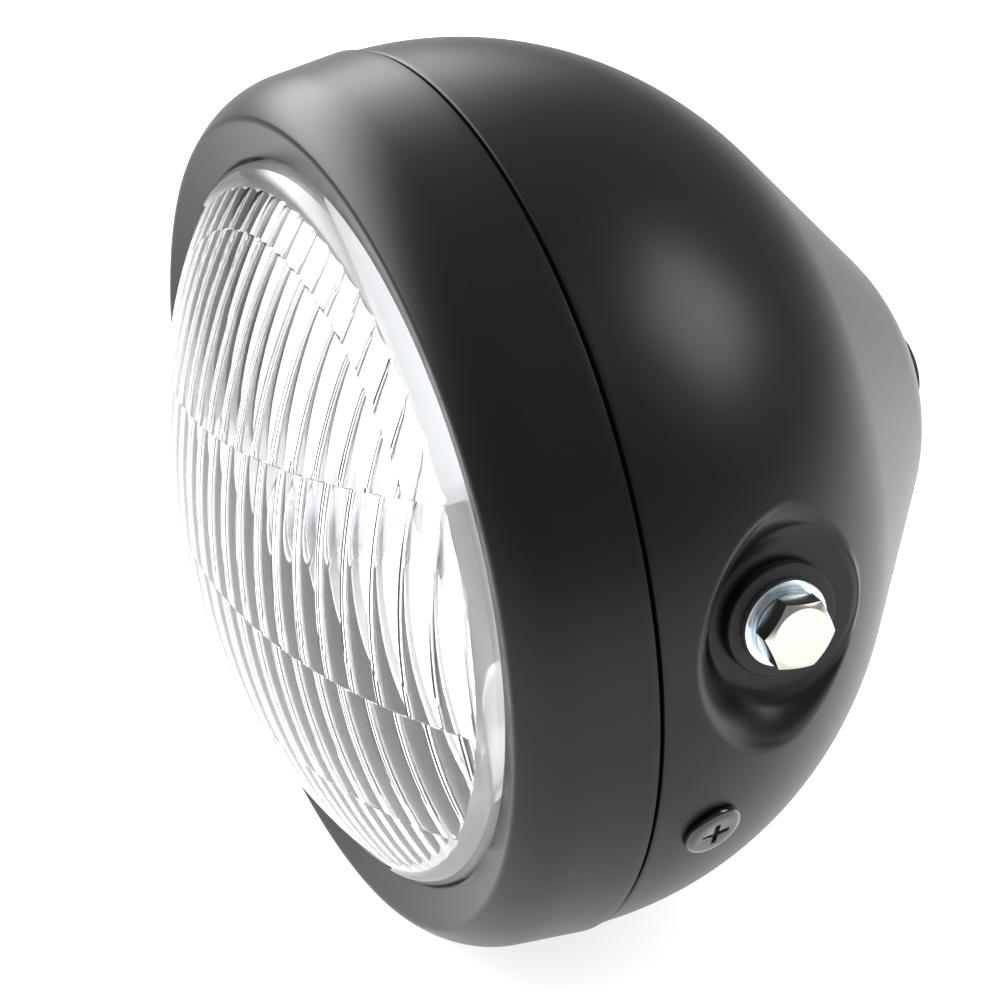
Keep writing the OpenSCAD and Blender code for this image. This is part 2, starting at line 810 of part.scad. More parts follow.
module bulb_spring_clip() {
    hoop_r = base_r + 3;
    wire_y = bulb_seat_y + bulb_flange_t + clip_wire_d / 2;
    leg_from = hoop_r - clip_wire_d / 4;
    leg_to = (flange_r + neck_r) / 2 + ear_t / 2;
    color("#8f9295") {
        turned()
            translate([hoop_r, wire_y])
                circle(d = clip_wire_d, $fn = 32);
        for (side = [1, -1])
            on_side(side)
                translate([leg_from, wire_y, 0])
                    rotate([0, 90, 0])
                        cylinder(d = clip_wire_d, h = leg_to - leg_from, $fn = 32);
    }
}

module dust_boot() {
    front_y = bulb_seat_y - neck_h + boot_t / 2;
    skirt_y = bulb_seat_y + ear_h + boot_t / 2;
    tip_y = bulb_seat_y + base_len - boot_t;
    cuff_y = tip_y - 2 * boot_t;
    color("#1a1a1b")
        turned()
            polygon([[neck_r, front_y], [neck_r + boot_t, front_y], [neck_r + boot_t, skirt_y],
                [base_r + 2 * boot_t, cuff_y + boot_t], [base_r + 2 * boot_t, tip_y], [base_r, tip_y],
                [base_r, cuff_y], [base_r + boot_t, cuff_y - boot_t / 2], [neck_r, skirt_y - boot_t / 2]]);
}

module side_bolt(side) {
    head_r = bolt_af / 2 / cos(30);
    face_r = bolt_af * 0.47;
    color("#c8c9c4")
        on_side(side)
            rotate([0, 90, 0]) {
                intersection() {
                    translate([0, 0, lock_out])
                        rotate(bolt_turn)
                            cylinder(r = head_r, h = bolt_head_h, $fn = 6);
                    translate([0, 0, lock_out])
                        cylinder(r1 = face_r + bolt_head_h / tan(30), r2 = face_r, h = bolt_head_h, $fn = 96);
                }
                translate([0, 0, lock_out - bolt_len])
                    cylinder(d = bolt_d, h = bolt_len + over, $fn = 64);
            }
}

module lock_washer(side) {
    split_w = 1.2;
    color("#9fa6ad")
        on_side(side)
            difference() {
                turned_about_bolt()
                    band(bolt_hole_r, lock_d / 2, washer_out, lock_out);
                rotate([0, 90, 0])
                    translate([(bolt_hole_r + lock_d / 2) / 2, 0, (washer_out + lock_out) / 2])
                        rotate([25, 0, 0])
                            cube([lock_d / 2, split_w, 3 * lock_t], center = true);
            }
}

module flat_washer(side) {
    color("#a9b3bb")
        on_side(side)
            turned_about_bolt()
                band(bolt_hole_r, washer_d / 2, spacer_out, washer_out);
}

module rubber_spacer(side) {
    color("#161617")
        on_side(side)
            turned_about_bolt()
                band(bolt_hole_r, spacer_d / 2, pad_out, spacer_out);
}

module doubler_plate(side) {
    color("#8d9196")
        on_side(side)
            turned_about_bolt()
                band(bolt_hole_r, pad_r - bucket_sheet - pad_edge, nut_out, pad_back);
}

module weld_nut(side) {
    color("#a8abad")
        on_side(side)
            rotate([0, 90, 0])
                translate([0, 0, nut_out - nut_h])
                    hex_nut(bolt_af, nut_h, bolt_d);
}

module cable_grommet() {
    bore_r = grommet_bore_d / 2;
    waist_r = grommet_hole_d / 2;
    flange_r = grommet_flange_d / 2;
    in_y = back_y - bucket_sheet;
    lip_t = 2.5;
    color("#161617")
        turned()
            polygon([[bore_r, in_y - lip_t], [flange_r - lip_t / 2, in_y - lip_t], [flange_r - lip_t / 5, in_y],
                [waist_r, in_y], [waist_r, back_y], [flange_r, back_y], [flange_r - lip_t / 5, back_y + lip_t],
                [bore_r + lip_t * 1.4, back_y + lip_t], [bore_r + lip_t, in_y - lip_t + grommet_len],
                [bore_r, in_y - lip_t + grommet_len]]);
}

bucket_shell();
rim_bezel();
lens_glass();
lens_seal();
reflector();
retaining_ring();
ring_brackets();
ring_screws();
bulb_envelope();
bulb_shield();
bulb_filaments();
bulb_base();
bulb_terminals();
bulb_spring_clip();
dust_boot();
side_bolt(1);  // side_bolt_right
side_bolt(-1);  // side_bolt_left
lock_washer(1);  // lock_washer_right
lock_washer(-1);  // lock_washer_left
flat_washer(1);  // flat_washer_right
flat_washer(-1);  // flat_washer_left
rubber_spacer(1);  // rubber_spacer_right
rubber_spacer(-1);  // rubber_spacer_left
doubler_plate(1);  // doubler_plate_right
doubler_plate(-1);  // doubler_plate_left
weld_nut(1);  // weld_nut_right
weld_nut(-1);  // weld_nut_left
rim_screw(1);  // rim_screw_right
rim_screw(-1);  // rim_screw_left
rim_tab(1);  // rim_tab_right
rim_tab(-1);  // rim_tab_left
rim_nut(1);  // rim_nut_right
rim_nut(-1);  // rim_nut_left
cable_grommet();
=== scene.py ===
"""Looks of a round motorcycle headlight: black bucket and bezel, fluted glass, mirror bowl, side bolts.

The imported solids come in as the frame. Every piece below is drawn in millimetres in the same frame:
X across the lamp, the beam towards -Y, +Z up, the origin where the lamp's axis meets the line of the
side bolts. A piece is scaled to metres when it is handed to Blender.
"""

import json
import logging
import math
from collections.abc import Callable, Iterable
from dataclasses import dataclass
from enum import Enum
from typing import Any

import bmesh
import bpy
from bmesh.types import BMEdge, BMesh, BMVert
from bpy.types import Material, Node, NodeSocket, NodeTree, Object
from mathutils import Matrix, Vector

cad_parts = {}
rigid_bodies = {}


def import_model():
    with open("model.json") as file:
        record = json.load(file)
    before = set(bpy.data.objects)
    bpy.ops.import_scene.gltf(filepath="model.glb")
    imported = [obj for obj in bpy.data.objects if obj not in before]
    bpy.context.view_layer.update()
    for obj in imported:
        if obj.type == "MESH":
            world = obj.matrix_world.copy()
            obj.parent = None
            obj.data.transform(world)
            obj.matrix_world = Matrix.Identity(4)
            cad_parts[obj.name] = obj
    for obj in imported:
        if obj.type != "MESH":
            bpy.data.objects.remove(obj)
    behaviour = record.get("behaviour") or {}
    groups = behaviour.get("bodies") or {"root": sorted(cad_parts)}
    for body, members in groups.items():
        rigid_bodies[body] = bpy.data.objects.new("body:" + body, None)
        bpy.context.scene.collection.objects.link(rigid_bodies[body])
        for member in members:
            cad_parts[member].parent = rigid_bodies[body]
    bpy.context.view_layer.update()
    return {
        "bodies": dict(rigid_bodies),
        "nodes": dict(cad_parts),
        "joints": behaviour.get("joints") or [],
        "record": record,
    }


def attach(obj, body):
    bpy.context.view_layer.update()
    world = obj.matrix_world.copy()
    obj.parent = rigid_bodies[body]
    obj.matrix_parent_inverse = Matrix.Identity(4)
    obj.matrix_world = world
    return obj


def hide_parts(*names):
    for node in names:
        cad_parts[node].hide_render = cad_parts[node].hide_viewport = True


logging.basicConfig(level=logging.INFO, format="%(message)s")
LOG = logging.getLogger("headlight")

MM = 0.001
CAD_BODY = "root"
SIDES = (1, -1)
SIDE_NAMES = {1: "right", -1: "left"}
AXIS = Vector((0.0, 1.0, 0.0))
ORIGIN = Vector((0.0, 0.0, 0.0))


class Slot(Enum):
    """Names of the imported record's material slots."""

    PAINT = "black_paint"
    LENS = "lens_glass"
    BULB_GLASS = "bulb_glass"
    MIRROR = "mirror"
    TUNGSTEN = "tungsten"
    RUBBER = "black_rubber"
    BOLT = "bolt_zinc"
    WASHER = "washer_zinc"
    SCREW = "black_screw"


# ---- Materials


def linear(code: str) -> tuple[float, float, float, float]:
    """Turns an sRGB hex colour into the linear colour that a shader takes.

    Args:
        code: Six hex digits, such as "1c1c1e".

    Returns:
        Red, green, blue and alpha.
    """
    parts = [int(code[i:i + 2], 16) / 255 for i in (0, 2, 4)]
    return (*[p / 12.92 if p <= 0.04045 else ((p + 0.055) / 1.055) ** 2.4 for p in parts], 1.0)


def add_node(tree: NodeTree, kind: str, links: dict[str, Any], **settings: Any) -> Node:
    """Adds one node with its settings and its sockets.

    Args:
        tree: The node tree that gets the node.
        kind: Blender's name for the node type.
        links: Socket name or number to an output to link, or to a value to set.
        settings: Properties of the node itself.

    Returns:
        The new node.
    """
    node = tree.nodes.new(kind)
    for name, value in settings.items():
        setattr(node, name, value)
    for name, value in links.items():
        socket = node.inputs[name]
        if isinstance(value, NodeSocket):
            tree.links.new(value, socket)
        else:
            socket.default_value = value
    return node


def reckon(tree: NodeTree, operation: str, *values: Any) -> NodeSocket:
    """Adds one step of arithmetic to a node tree.

    Args:
        tree: The node tree.
        operation: Blender's name for the step, such as "MULTIPLY".
        values: Outputs or numbers, in the order of the node's inputs.

    Returns:
        The result.
    """
    return add_node(tree, "ShaderNodeMath", dict(enumerate(values)), operation=operation).outputs[0]


def ramp(tree: NodeTree, value: NodeSocket, start: float, end: float,
         low: float = 0.0, high: float = 1.0, soft: bool = False) -> NodeSocket:
    """Adds a ramp that goes from low to high while the value goes from start to end.

    Args:
        tree: The node tree.
        value: What drives the ramp.
        start: The value at which the ramp leaves low.
        end: The value at which it reaches high.
        low: The result before the ramp.
        high: The result after it.
        soft: Eases the ramp in and out.

    Returns:
        The result.
    """
    return add_node(tree, "ShaderNodeMapRange",
                    {"Value": value, "From Min": start, "From Max": end, "To Min": low, "To Max": high},
                    interpolation_type="SMOOTHSTEP" if soft else "LINEAR").outputs["Result"]


@dataclass(frozen=True)
class Finish:
    """A surface as it was made, with a pattern whose grain is a real size.

    The grain drives three things: a small change of colour, a change of roughness and a bump.
    """

    name: str
    colour: str
    shade: str
    roughness: float
    rough_swing: float
    grain_mm: float
    bump_mm: float
    metallic: float = 0.0
    ior: float = 1.5
    coat: float = 0.0
    coat_roughness: float = 0.1

    def grain(self, tree: NodeTree) -> NodeSocket:
        """Returns the grain's height, 0 to 1, over the piece."""
        coords = add_node(tree, "ShaderNodeTexCoord", {})
        noise = add_node(tree, "ShaderNodeTexNoise", {"Vector": coords.outputs["Object"],
                                                      "Scale": 1 / (self.grain_mm * MM), "Detail": 3.0})
        return noise.outputs["Fac"]

    def dress(self, tree: NodeTree, shader: Node) -> None:
        """Links the grain to the shader's colour, roughness and normal."""
        height = self.grain(tree)
        tint = add_node(tree, "ShaderNodeMix", {0: height, 6: linear(self.shade), 7: linear(self.colour)},
                        data_type="RGBA")
        rough = ramp(tree, height, 0.0, 1.0, self.roughness - self.rough_swing,
                     self.roughness + self.rough_swing)
        bump = add_node(tree, "ShaderNodeBump",
                        {"Height": height, "Strength": 1.0, "Distance": self.bump_mm * MM})
        tree.links.new(tint.outputs[2], shader.inputs["Base Color"])
        tree.links.new(rough, shader.inputs["Roughness"])
        tree.links.new(bump.outputs["Normal"], shader.inputs["Normal"])

    def material(self) -> Material:
        """Returns this finish as a material, made once."""
        made = bpy.data.materials.get(self.name)
        if made:
            return made
        made = bpy.data.materials.new(self.name)
        made.use_nodes = True
        tree = made.node_tree
        shader = tree.nodes["Principled BSDF"]
        for name, value in {"Metallic": self.metallic, "IOR": self.ior, "Coat Weight": self.coat,
                            "Coat Roughness": self.coat_roughness}.items():
            shader.inputs[name].default_value = value
        self.dress(tree, shader)
        return made


@dataclass(frozen=True)
class ClearGlass(Finish):
    """Glass: light goes through, and a faint waviness of the pressed surface bends it.

    Beyond painted_rim_r millimetres from the lamp's axis, and behind station painted_rim_y, the glass is made
    matt and white. The wall inside bore_r and behind bore_y is matt white by the share bore_painted_light.
    Both are
    painted light: white colour standing in for the light that the clear rim glass carries.
    """

    # Where the glass turns matt white: painted light standing in for the light that the clear rim glass
    # carries.
    painted_rim_r: float = 0.0
    painted_rim_y: float = 0.0
    bore_r: float = 0.0
    bore_y: float = 0.0
    # Share of matt white on the bore's wall: painted light of the same kind.
    bore_painted_light: float = 0.5
    fade_mm: float = 0.6

    def dress(self, tree: NodeTree, shader: Node) -> None:
        """Makes the shader transmit and gives it the pressed surface's slow waves."""
        bump = add_node(tree, "ShaderNodeBump",
                        {"Height": self.grain(tree), "Strength": 1.0, "Distance": self.bump_mm * MM})
        for name, value in {"Base Color": linear(self.colour), "Transmission Weight": 1.0,
                            "Roughness": self.roughness}.items():
            shader.inputs[name].default_value = value
        tree.links.new(bump.outputs["Normal"], shader.inputs["Normal"])
        # Painted light: the flange and the bore's wall lose their clearness and show matt white in place of
        # the light carried through the rim.
        if self.painted_rim_r:
            tree.links.new(self.clearness(tree), shader.inputs["Transmission Weight"])

    def clearness(self, tree: NodeTree) -> NodeSocket:
        """Returns how clear the glass is: 1 in the dome and flutes, 0 on the flange, whose matt white is
        painted light.
        """
        coords = add_node(tree, "ShaderNodeTexCoord", {})
        arm = add_node(tree, "ShaderNodeVectorMath", {0: coords.outputs["Object"], 1: (1.0, 0.0, 1.0)},
                       operation="MULTIPLY")
        radius = add_node(tree, "ShaderNodeVectorMath", {0: arm.outputs["Vector"]},
                          operation="LENGTH").outputs["Value"]
        station = add_node(tree, "ShaderNodeSeparateXYZ", {"Vector": coords.outputs["Object"]}).outputs["Y"]
        inside = ramp(tree, radius, self.painted_rim_r * MM, (self.painted_rim_r + self.fade_mm) * MM, 1.0, 0.0)
        ahead = ramp(tree, station, self.painted_rim_y * MM, (self.painted_rim_y + self.fade_mm / 2) * MM, 1.0, 0.0)
        in_bore = reckon(tree, "LESS_THAN", radius, self.bore_r * MM)
        behind = reckon(tree, "GREATER_THAN", station, self.bore_y * MM)
        wall = reckon(tree, "MULTIPLY", in_bore, behind)
        left = reckon(tree, "MULTIPLY_ADD", wall, -self.bore_painted_light, 1.0)
        return reckon(tree, "MULTIPLY", reckon(tree, "MULTIPLY", inside, ahead), left)


# Powder coat over steel: satin, a fine orange peel that softens what it mirrors
POWDER_COAT = Finish("satin_powder_coat", "17171a", "131316", 0.34, 0.02, 0.45, 0.003, ior=1.36)
# Pressed soda-lime glass: clear, a slow waviness left by the mould; its flange and part of its bore are made
# matt white, painted light standing in for the light that the clear rim glass carries
PRESSED_GLASS = ClearGlass("pressed_glass", "fdfeff", "fdfeff", 0.0, 0.0, 9.0, 0.01, ior=1.52,
                           painted_rim_r=73.3, painted_rim_y=-46.1, bore_r=67.4, bore_y=-55.6)
# Quartz tube of the bulb: very clear
QUARTZ = ClearGlass("quartz_glass", "fdfeff", "fdfeff", 0.0, 0.0, 5.0, 0.004, ior=1.46)
# Vacuum-aluminised lacquer: a bright mirror with a trace of ripple
MIRROR_COAT = Finish("aluminised_mirror", "f9fafb", "f4f6f7", 0.035, 0.01, 14.0, 0.004, metallic=1.0)
# Bright zinc on a cold-headed bolt: pale, faintly milky, with fine pits
BOLT_ZINC = Finish("bright_zinc", "d8d8ce", "c4c4ba", 0.24, 0.06, 0.5, 0.005, metallic=1.0)
# Blue-passivated zinc on stamped washers: bluish, cloudy
WASHER_ZINC = Finish("blue_zinc", "e4eef3", "c2d0d9", 0.3, 0.1, 1.6, 0.006, metallic=1.0)
# Moulded rubber: dull black, a fine moulded grain
RUBBER = Finish("moulded_rubber", "1d1d1d", "161616", 0.62, 0.06, 0.5, 0.01)
# Black passivated screw under lacquer: glossy black
SCREW_BLACK = Finish("gloss_black_screw", "0c0c0d", "080809", 0.16, 0.04, 0.8, 0.004, coat=0.6)
# Zinc-plated sheet inside the lamp: dull grey
SHEET_STEEL = Finish("plated_sheet", "b4b7b9", "8f9295", 0.38, 0.08, 1.2, 0.006, metallic=1.0)
# Stamped nickel-plated steel of the bulb's base and shield
BULB_STEEL = Finish("plated_bulb_steel", "c9cbcc", "a9abad", 0.24, 0.06, 1.0, 0.004, metallic=1.0)
# Drawn tungsten: dark grey, die lines along the wire
TUNGSTEN = Finish("drawn_tungsten", "6a6c6e", "4f5153", 0.34, 0.06, 0.4, 0.004, metallic=1.0)
# Brass blades, plain
BRASS = Finish("blade_brass", "d0ad6a", "b08c4c", 0.28, 0.06, 0.8, 0.004, metallic=1.0)
# Spring wire, drawn and oiled
SPRING_STEEL = Finish("spring_wire", "8d9093", "6f7275", 0.3, 0.06, 0.5, 0.004, metallic=1.0)


# ---- Drawing and handing over


class Section:
    """A wire drawn in the plane of radius and station, ready to be turned about an axis."""

    def __init__(self, radius: float, station: float) -> None:
        """Starts the wire at one point, in millimetres."""
        self.mesh = bmesh.new()
        self.start = self.end = self.mesh.verts.new((radius, station, 0.0))

    def line(self, radius: float, station: float, parts: int = 1) -> "Section":
        """Draws a straight run to a point, cut into equal parts."""
        origin, goal = self.end.co.copy(), Vector((radius, station, 0.0))
        for i in range(parts):
            vert = self.mesh.verts.new(origin.lerp(goal, (i + 1) / parts))
            self.mesh.edges.new((self.end, vert))
            self.end = vert
        return self

    def arc(self, radius: float, station: float, turn: float, parts: int) -> "Section":
        """Draws an arc about a centre.

        Args:
            radius: The centre's radius from the axis.
            station: The centre's station along the axis.
            turn: Angle in degrees, positive from the radius towards the station.
            parts: How many straight parts stand for the arc.

        Returns:
            The section, so that calls can be chained.
        """
        made = bmesh.ops.spin(self.mesh, geom=[self.end], cent=(radius, station, 0.0), axis=(0.0, 0.0, 1.0),
                              angle=math.radians(turn), steps=parts, use_duplicate=False)
        self.end = next(g for g in made["geom_last"] if isinstance(g, BMVert))
        return self

    def close(self) -> "Section":
        """Joins the end back to the start."""
        self.mesh.edges.new((self.end, self.start))
        self.end = self.start
        return self

    def soften(self, radius: float, station: float, round_mm: float, parts: int = 4) -> "Section":
        """Rounds the wire's corner nearest to a point."""
        self.mesh.verts.ensure_lookup_table()
        goal = Vector((radius, station, 0.0))
        corner = min(self.mesh.verts, key=lambda v: (v.co - goal).length)
        ways = [(e.other_vert(corner).co - corner.co).normalized() for e in corner.link_edges]
        bend = (math.pi - ways[0].angle(ways[1])) / 2
        keep_start = corner is self.start
        bmesh.ops.bevel(self.mesh, geom=[corner], offset=round_mm * math.tan(bend), segments=parts,
                        profile=0.5, affect="VERTICES", material=-1)
        if keep_start:
            self.start = self.end = None
        return self

    def turned(self, steps: int, axis: Vector = AXIS) -> BMesh:
        """Turns the wire all the way round and returns the mesh.

        Args:
            steps: Number of parts round the turn.
            axis: The axis that the wire's station runs along.

        Returns:
            The turned mesh, its doubles merged and its faces pointing outwards.
        """
        bmesh.ops.spin(self.mesh, geom=self.mesh.verts[:] + self.mesh.edges[:], cent=ORIGIN, axis=AXIS,
                       angle=math.tau, steps=steps, use_merge=True, use_duplicate=False)
        bmesh.ops.remove_doubles(self.mesh, verts=self.mesh.verts, dist=1e-4)
        bmesh.ops.recalc_face_normals(self.mesh, faces=self.mesh.faces)
        bmesh.ops.rotate(self.mesh, verts=self.mesh.verts, cent=ORIGIN,
                         matrix=AXIS.rotation_difference(axis).to_matrix())
        return self.mesh


def cut_out(mesh: BMesh, where: Callable[[Vector], bool]) -> list[BMEdge]:
    """Deletes the faces whose centres pass a test.

    Args:
        mesh: The mesh.
        where: Tells from a face's centre whether it goes.

    Returns:
        The edges round the hole.
    """
    inside = {f for f in mesh.faces if where(f.calc_center_median())}
    rim = list({e for f in inside for e in f.edges if any(g not in inside for g in e.link_faces)})
    bmesh.ops.delete(mesh, geom=list(inside), context="FACES")
    return rim


def grow(mesh: BMesh, ring: list[BMEdge]) -> tuple[list[BMVert], list[BMEdge]]:
    """Extrudes a ring of boundary edges in place.

    Args:
        mesh: The mesh.
        ring: The edges to extrude.

    Returns:
        The new ring's vertices and its edges.
    """
    made = bmesh.ops.extrude_edge_only(mesh, edges=ring)["geom"]
    verts = [g for g in made if isinstance(g, BMVert)]
    return verts, [g for g in made if isinstance(g, BMEdge) and g.is_boundary]


def draw_in(mesh: BMesh, ring: list[BMEdge], centre: Vector, radius: float, rings: int,
            across: tuple[int, int] = (1, 2)) -> tuple[list[BMVert], list[BMEdge]]:
    """Extrudes a ring of edges in steps until it is a circle.

    Args:
        mesh: The mesh.
        ring: The edges to start from.
        centre: The circle's centre.
        radius: The circle's radius.
        rings: Number of steps.
        across: The two axes that the circle lies in.

    Returns:
        All new vertices, and the last ring's edges.
    """
    made = []
    for left in range(rings, 0, -1):
        verts, ring = grow(mesh, ring)
        made += verts
        for vert in verts:
            arm = [vert.co[i] - centre[i] for i in across]
            now = math.hypot(*arm)
            for i, part in zip(across, arm):
                vert.co[i] = centre[i] + part * (now + (radius - now) / left) / now
    return made, ring


def absorb(mesh: BMesh, other: BMesh) -> None:
    """Adds another mesh to a mesh and frees the other one."""
    data = bpy.data.meshes.new("absorbed")
    other.to_mesh(data)
    other.free()
    mesh.from_mesh(data)
    bpy.data.meshes.remove(data)


def break_edges(mesh: BMesh, angle: float, width: float) -> None:
    """Takes the sharpness off the edges whose faces meet at more than an angle in degrees."""
    hard = [e for e in mesh.edges if e.calc_face_angle(0.0) > math.radians(angle)]
    bmesh.ops.bevel(mesh, geom=hard, offset=width, segments=2, profile=0.5, affect="EDGES", material=-1,
                    clamp_overlap=True)


def smooth_min(a: float, b: float, blend: float) -> float:
    """Returns the lower of two heights, with a round of about this size where they cross."""
    h = max(blend - abs(a - b), 0.0) / blend
    return min(a, b) - h * h * blend / 4


def hand_over(mesh: BMesh, name: str, finish: Finish, nodes: Iterable[str],
              sharp: float = 32.0) -> Object:
    """Turns a mesh drawn in millimetres into a piece of the object.

    Args:
        mesh: The mesh, which is freed.
        name: The piece's name.
        finish: Its finish.
        nodes: The solids that it stands for.
        sharp: Faces that meet at more than this angle, in degrees, keep a hard edge.

    Returns:
        The new object, riding on the lamp.
    """
    bmesh.ops.scale(mesh, vec=(MM, MM, MM), verts=mesh.verts)
    data = bpy.data.meshes.new(name)
    mesh.to_mesh(data)
    mesh.free()
    data.shade_smooth()
    data.set_sharp_from_angle(angle=math.radians(sharp))
    piece = bpy.data.objects.new(name, data)
    bpy.context.scene.collection.objects.link(piece)
    data.materials.append(finish.material())
    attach(piece, CAD_BODY)
    nodes = list(nodes)
    if nodes:
        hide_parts(*nodes)
    LOG.info("%s: %d faces", name, len(data.polygons))
    return piece


def softened(frame: dict[str, Any], node: str, edge_mm: float, finish: Finish,
             bend: Callable[[Vector], Vector] | None = None) -> Object:
    """Copies a solid, merges its triangles into faces and takes the sharpness off its edges.

    Args:
        node: The solid's name.
        edge_mm: Width of the edge break.
        finish: The piece's finish.
        bend: Moves a point of the piece, for a change of form.

    Returns:
        The new piece, which stands for the solid.
    """
    mesh = bmesh.new()
    mesh.from_mesh(frame["nodes"][node].data)
    bmesh.ops.scale(mesh, vec=(1 / MM, 1 / MM, 1 / MM), verts=mesh.verts)
    bmesh.ops.remove_doubles(mesh, verts=mesh.verts, dist=1e-3)
    bmesh.ops.dissolve_limit(mesh, angle_limit=math.radians(1.0), verts=mesh.verts, edges=mesh.edges)
    break_edges(mesh, 28, edge_mm)
    if bend:
        for vert in mesh.verts:
            vert.co = bend(vert.co)
    return hand_over(mesh, node + "_dressed", finish, [node])


# ---- The lamp's sub-assemblies


@dataclass
class Bezel:
    """Rolled steel ring: drafted side, round-over, crease, sloping return and a turned-back lip."""

    rear_r: float = 90.0
    seam: float = -31.0
    sheet: float = 1.0
    side: float = 14.0
    draft: float = 6.5
    round_over: float = 17.5
    crease_slope: float = 52.0
    crease_round: float = 1.8
    return_w: float = 8.2
    return_drop: float = 2.3
    lip_turn: float = 2.6
    hem: float = 2.4
    hem_in_r: float = 87.88
    fold_gap: float = 0.1
    lip_round: float = 0.8
    fold_round: float = 0.4
    edge: float = 0.35
    steps: int = 320

    def side_end(self) -> Vector:
        """Returns where the straight side meets the round-over."""
        a = math.radians(self.draft)
        return Vector((self.rear_r - self.side * math.sin(a), self.seam - self.side * math.cos(a)))

    def round_centre(self) -> Vector:
        """Returns the round-over's centre."""
        a = math.radians(self.draft)
        return self.side_end() + self.round_over * Vector((-math.cos(a), math.sin(a)))

    def crease(self) -> Vector:
        """Returns the crease as a sharp corner."""
        a = math.radians(self.crease_slope)
        return self.round_centre() + self.round_over * Vector((math.cos(a), -math.sin(a)))

    def lip(self) -> Vector:
        """Returns the lip's outer corner."""
        return self.crease() + Vector((-self.return_w, self.return_drop))

    def crease_centre(self) -> Vector:
        """Returns the centre of the crease's own round, inside the round-over and on the return."""
        way = Vector((-self.return_w, self.return_drop)).normalized()
        inward = Vector((way.y, -way.x))
        start = self.crease() + self.crease_round * inward - self.round_centre()
        along = start.dot(way)
        reach = -along - math.sqrt(along ** 2 - start.dot(start) + (self.round_over - self.crease_round) ** 2)
        return self.crease() + self.crease_round * inward + reach * way

    def build(self) -> Object:
        """Builds the ring as one closed section turned about the lamp's axis."""
        centre, small = self.round_centre(), self.crease_centre()
        lip, thick = self.lip(), self.sheet
        a0 = math.degrees(math.atan2(small.y - centre.y, small.x - centre.x))
        way = Vector((-self.return_w, self.return_drop)).normalized()
        a1 = math.degrees(math.atan2(way.x, -way.y))
        tan = math.tan(math.radians(self.draft))
        skin = thick / math.cos(math.radians(self.draft))
        hem_y = self.seam - self.hem
        inner_r = self.rear_r - skin - self.hem * tan
        lip_in = lip.y + thick + self.fold_gap
        section = Section(self.rear_r, self.seam)
        section.line(*self.side_end(), parts=6)
        section.arc(*centre, turn=a0 + self.draft, parts=30)
        section.arc(*small, turn=a1 - a0, parts=12)
        section.line(*lip, parts=4)
        section.line(lip.x, lip.y + thick + self.lip_turn)
        section.line(lip.x + thick, lip.y + thick + self.lip_turn)
        section.line(lip.x + thick, lip_in)
        inner_end = small + (self.crease_round - thick) * Vector((math.cos(math.radians(a1)),
                                                                 math.sin(math.radians(a1))))
        section.line(*inner_end, parts=3)
        section.arc(*small, turn=a0 - a1, parts=6)
        section.arc(*centre, turn=-self.draft - a0, parts=16)
        section.line(inner_r, hem_y)
        section.line(self.hem_in_r, hem_y)
        section.line(self.hem_in_r, self.seam)
        section.close()
        section.soften(*lip, round_mm=self.lip_round, parts=5)
        section.soften(lip.x, lip.y + thick + self.lip_turn, round_mm=self.fold_round, parts=3)
        section.soften(self.rear_r, self.seam, round_mm=self.edge, parts=3)
        section.soften(self.hem_in_r, self.seam, round_mm=self.edge, parts=3)
        return hand_over(section.turned(self.steps), "bezel_ring", POWDER_COAT, ["rim_bezel"])


